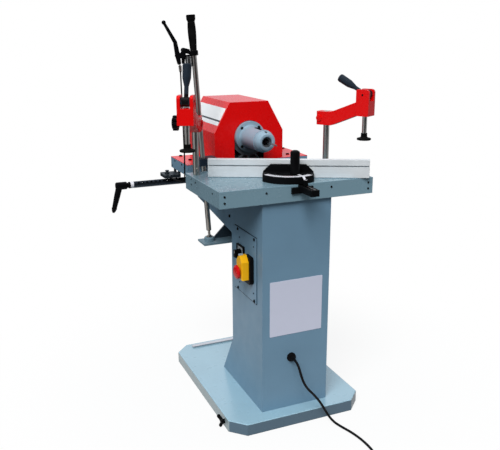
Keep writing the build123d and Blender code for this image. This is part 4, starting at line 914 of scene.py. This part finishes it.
# %% Barrel and ferrule on the joystick
ball = Vector((-171.6, 90, 578))
lean = radians(-3.717)
up_lever = Vector((sin(lean), 0, cos(lean)))
out_lever = Vector((cos(lean), 0, -sin(lean)))
barrel = bmesh.new()
barrel_profile = ((7.5, 0), (10.6, 0), (11.3, 0.7), (11.3, 8), (10.8, 8.6), (10.8, 10),
                  (11.3, 10.6), (11.3, 28), (10.8, 28.6), (10.8, 30), (11.3, 30.6),
                  (11.3, 34.5), (10.6, 35.2), (7.5, 35.2))
barrel_foot = ball + out_lever * -20.5 + up_lever * 611.7
add_turned(barrel, barrel_profile, barrel_foot, up_lever, 32)
new_piece("perch_barrel", barrel, "joystick", cross_steel)
ferrule = bmesh.new()
ferrule_profile = ((2.6, 0), (4.0, 0.5), (4.0, 5), (5.0, 6), (5.0, 15), (4.4, 18), (4.8, 19),
                   (4.8, 21), (2.6, 22))
ferrule_foot = ball + out_lever * -55 + up_lever * 597 + Vector((0, -8, 0))
add_turned(ferrule, ferrule_profile, ferrule_foot, up_lever, 24)
new_piece("cable_ferrule", ferrule, "joystick", bar_steel)
print("joystick parts", 2)

# %% [markdown]
# On the switch: thin black strips round the plate, a painted shadow for the shade in the gap at its
# rim, the selector's light face and the white line on its knob, and the pale clasp on top of the
# yellow cover. The coil of spare lead is held by a strap that goes over its turns and ends on the
# floor.

# %% Switch details
# Painted shadow: thin black strips round the switch plate stand in for the shade in the gap at its
# rim.
gap_shadow_width = 1.8
gap_shadow_strips = ((-138.5, 654.2, 191, gap_shadow_width), (-138.5, 422.8, 191, gap_shadow_width),
               (-233.2, 538.5, gap_shadow_width, 228), (-43.8, 538.5, gap_shadow_width, 228))
gap_shadow = bmesh.new()
for y, z, wide, tall in gap_shadow_strips:
    outline = [(x_side * wide / 2, y_side * tall / 2)
               for x_side, y_side in ((1, 1), (-1, 1), (-1, -1), (1, -1))]
    add_plate(gap_shadow, outline, (-124.1, y, z), (0, -1, 0), (0, 0, 1), 1.2, 0.2)
new_piece("switch_painted_gap_shadow", gap_shadow, "stand", black_rubber)
selector_face = bmesh.new()
add_plate(selector_face, rounded_rectangle(51, 47, 3), (-130, -106, 568), (0, -1, 0), (0, 0, 1),
          0.3, 0.1)
new_piece("selector_face", selector_face, "stand", pale_plastic)
knob_line = bmesh.new()
add_plate(knob_line, rounded_rectangle(2.4, 11, 1), (-153, -106, 574), (0, -1, 0), (0, 0, 1),
          0.3, 0.1)
new_piece("selector_line", knob_line, "selector", white_plastic)
clasp = bmesh.new()
add_plate(clasp, rounded_rectangle(16, 9, 2), (-160, -180, 586.6), (1, 0, 0), (0, 1, 0),
          4.5, 1.0)
new_piece("cover_clasp", clasp, "switch_flap", pale_plastic)
print("switch parts", 4)

# %% Strap over the coil
strap_half_width = 6
strap = bmesh.new()
strap_middle, _, first_turn = coil_centre()
strap_turn = first_turn + radians(200)
outward = Vector((cos(strap_turn), sin(strap_turn), 0))
sideways = Vector((-outward.y, outward.x, 0))
outer_outline = ((29.5, 0.2), (28.5, 8), (30.5, 16), (36, 18.9), (57, 18.9), (62.5, 16),
                 (64.5, 8), (63.5, 0.2))
inner_outline = ((30.6, 0.2), (29.7, 8), (31.4, 15.2), (36.4, 17.7), (56.6, 17.7), (61.6, 15.2),
                 (63.3, 8), (62.4, 0.2))
near = strap_middle - sideways * strap_half_width
far = strap_middle + sideways * strap_half_width
rings = []
for outer, inner in zip(outer_outline, inner_outline):
    corners = ((near, outer), (far, outer), (far, inner), (near, inner))
    rings.append([Vector((*(edge + outward * reach).xy, height))
                  for edge, (reach, height) in corners])
add_rings(strap, rings)
new_piece("coil_strap", strap, "stand", black_plastic)
print("strap points", len(rings) * 4)

# %% [markdown]
# Floor and light. The machine stands on a plain white floor in front of nothing, as in a
# catalogue. The light is soft and comes from above at the front left. What bright metal and
# enamel mirror is another matter: a white sheet behind the machine, a pale ceiling and pale walls
# at the sides, with a dim room in front. That dim room keeps the reds deep and puts dark bands on
# the bars.

# %% Floor


def seen_directly(tree, path):
    """Rays of the camera, and those that a mirror or a window sends on."""
    seen = arithmetic(tree, "MAXIMUM", path.outputs["Is Camera Ray"], path.outputs["Is Glossy Ray"])
    return arithmetic(tree, "MAXIMUM", seen, path.outputs["Is Transmission Ray"])


floor_radius = 1.35
floor_seen = (0.85, 0.85, 0.85, 1)
floor_bounced = (0.24, 0.24, 0.24, 1)


def make_floor():
    mesh = bpy.data.meshes.new("studio_floor")
    builder = bmesh.new()
    bmesh.ops.create_circle(builder, cap_ends=True, segments=96, radius=floor_radius)
    builder.to_mesh(mesh)
    builder.free()
    floor = bpy.data.objects.new("studio_floor", mesh)
    scene.collection.objects.link(floor)
    material, tree, shader = new_material("studio_white")
    path = tree.nodes.new("ShaderNodeLightPath")
    tone = blend_colours(tree, path.outputs["Is Camera Ray"], floor_bounced, floor_seen)
    tree.links.new(tone, shader.inputs["Base Color"])
    shader.inputs["Roughness"].default_value = 0.9
    shader.inputs["Specular IOR Level"].default_value = 0.1
    distance = vector_math(tree, "LENGTH", object_place(tree))["Value"]
    fading = spread(tree, distance, 0.40, 1.2, 0.86, 1.0, "SMOOTHSTEP")
    white = tree.nodes.new("ShaderNodeEmission")
    mix = tree.nodes.new("ShaderNodeMixShader")
    share = arithmetic(tree, "MULTIPLY", fading, seen_directly(tree, path))
    tree.links.new(share, mix.inputs["Fac"])
    tree.links.new(shader.outputs["BSDF"], mix.inputs[1])
    tree.links.new(white.outputs["Emission"], mix.inputs[2])
    tree.links.new(mix.outputs["Shader"], tree.nodes["Material Output"].inputs["Surface"])
    mesh.materials.append(material)


make_floor()
print("floor ready")

# %% Surroundings


def add_lobe(tree, direction, axis, outer, inner, level):
    """Brightness that rises towards one direction of the room."""
    agree = vector_math(tree, "DOT_PRODUCT", direction, Vector(axis).normalized())["Value"]
    return spread(tree, agree, outer, inner, 0.0, level, "SMOOTHSTEP")


room_dim = 0.04
room_lobes = (
    ((0.1, 0.85, 0.55), 0.60, 0.90, 0.9),
    ((0.0, 0.3, 1.0), 0.45, 0.95, 0.9),
    ((-1.0, -0.25, 0.0), 0.80, 0.97, 0.55),
    ((1.0, 0.3, 0.0), 0.6, 0.95, 0.4),
    ((0.85, -0.45, -0.27), 0.88, 0.98, 0.5),
    ((-0.3, 1.0, -0.35), 0.90, 0.99, 0.08),
)


def make_world():
    world = bpy.data.worlds.new("studio")
    scene.world = world
    world.use_nodes = True
    tree = world.node_tree
    ambient = tree.nodes["Background"]
    ambient.inputs["Color"].default_value = (0.90, 0.97, 1.0, 1)
    direction = tree.nodes.new("ShaderNodeTexCoord").outputs["Generated"]
    height = tree.nodes.new("ShaderNodeSeparateXYZ")
    tree.links.new(direction, height.inputs["Vector"])
    rising = spread(tree, height.outputs["Z"], -0.2, 0.6, 0.12, 0.46)
    tree.links.new(rising, ambient.inputs["Strength"])
    path = tree.nodes.new("ShaderNodeLightPath")
    brightness = arithmetic(tree, "MAXIMUM", path.outputs["Is Camera Ray"], room_dim)
    for axis, outer, inner, level in room_lobes:
        lobe = add_lobe(tree, direction, axis, outer, inner, level)
        brightness = arithmetic(tree, "MAXIMUM", brightness, lobe)
    room = tree.nodes.new("ShaderNodeBackground")
    sky = blend_colours(tree, path.outputs["Is Camera Ray"], (0.86, 0.92, 1, 1), (1, 1, 1, 1))
    tree.links.new(sky, room.inputs["Color"])
    tree.links.new(brightness, room.inputs["Strength"])
    mix = tree.nodes.new("ShaderNodeMixShader")
    tree.links.new(seen_directly(tree, path), mix.inputs["Fac"])
    tree.links.new(ambient.outputs["Background"], mix.inputs[1])
    tree.links.new(room.outputs["Background"], mix.inputs[2])
    tree.links.new(mix.outputs["Shader"], tree.nodes["World Output"].inputs["Surface"])


make_world()
print("room lobes", len(room_lobes))

# %% Lamps


def sky_lamp(name, direction, spread_angle, power):
    lamp = bpy.data.lights.new(name, "SUN")
    lamp.energy = power
    lamp.angle = radians(spread_angle)
    holder = bpy.data.objects.new(name, lamp)
    holder.rotation_euler = Vector(direction).to_track_quat("-Z", "Y").to_euler()
    holder.visible_glossy = False
    scene.collection.objects.link(holder)


light_direction = (0.42, 0.50, -0.75)
sky_lamp("top_light", light_direction, spread_angle=35, power=2.9)
print("lamps", len(bpy.data.lights))
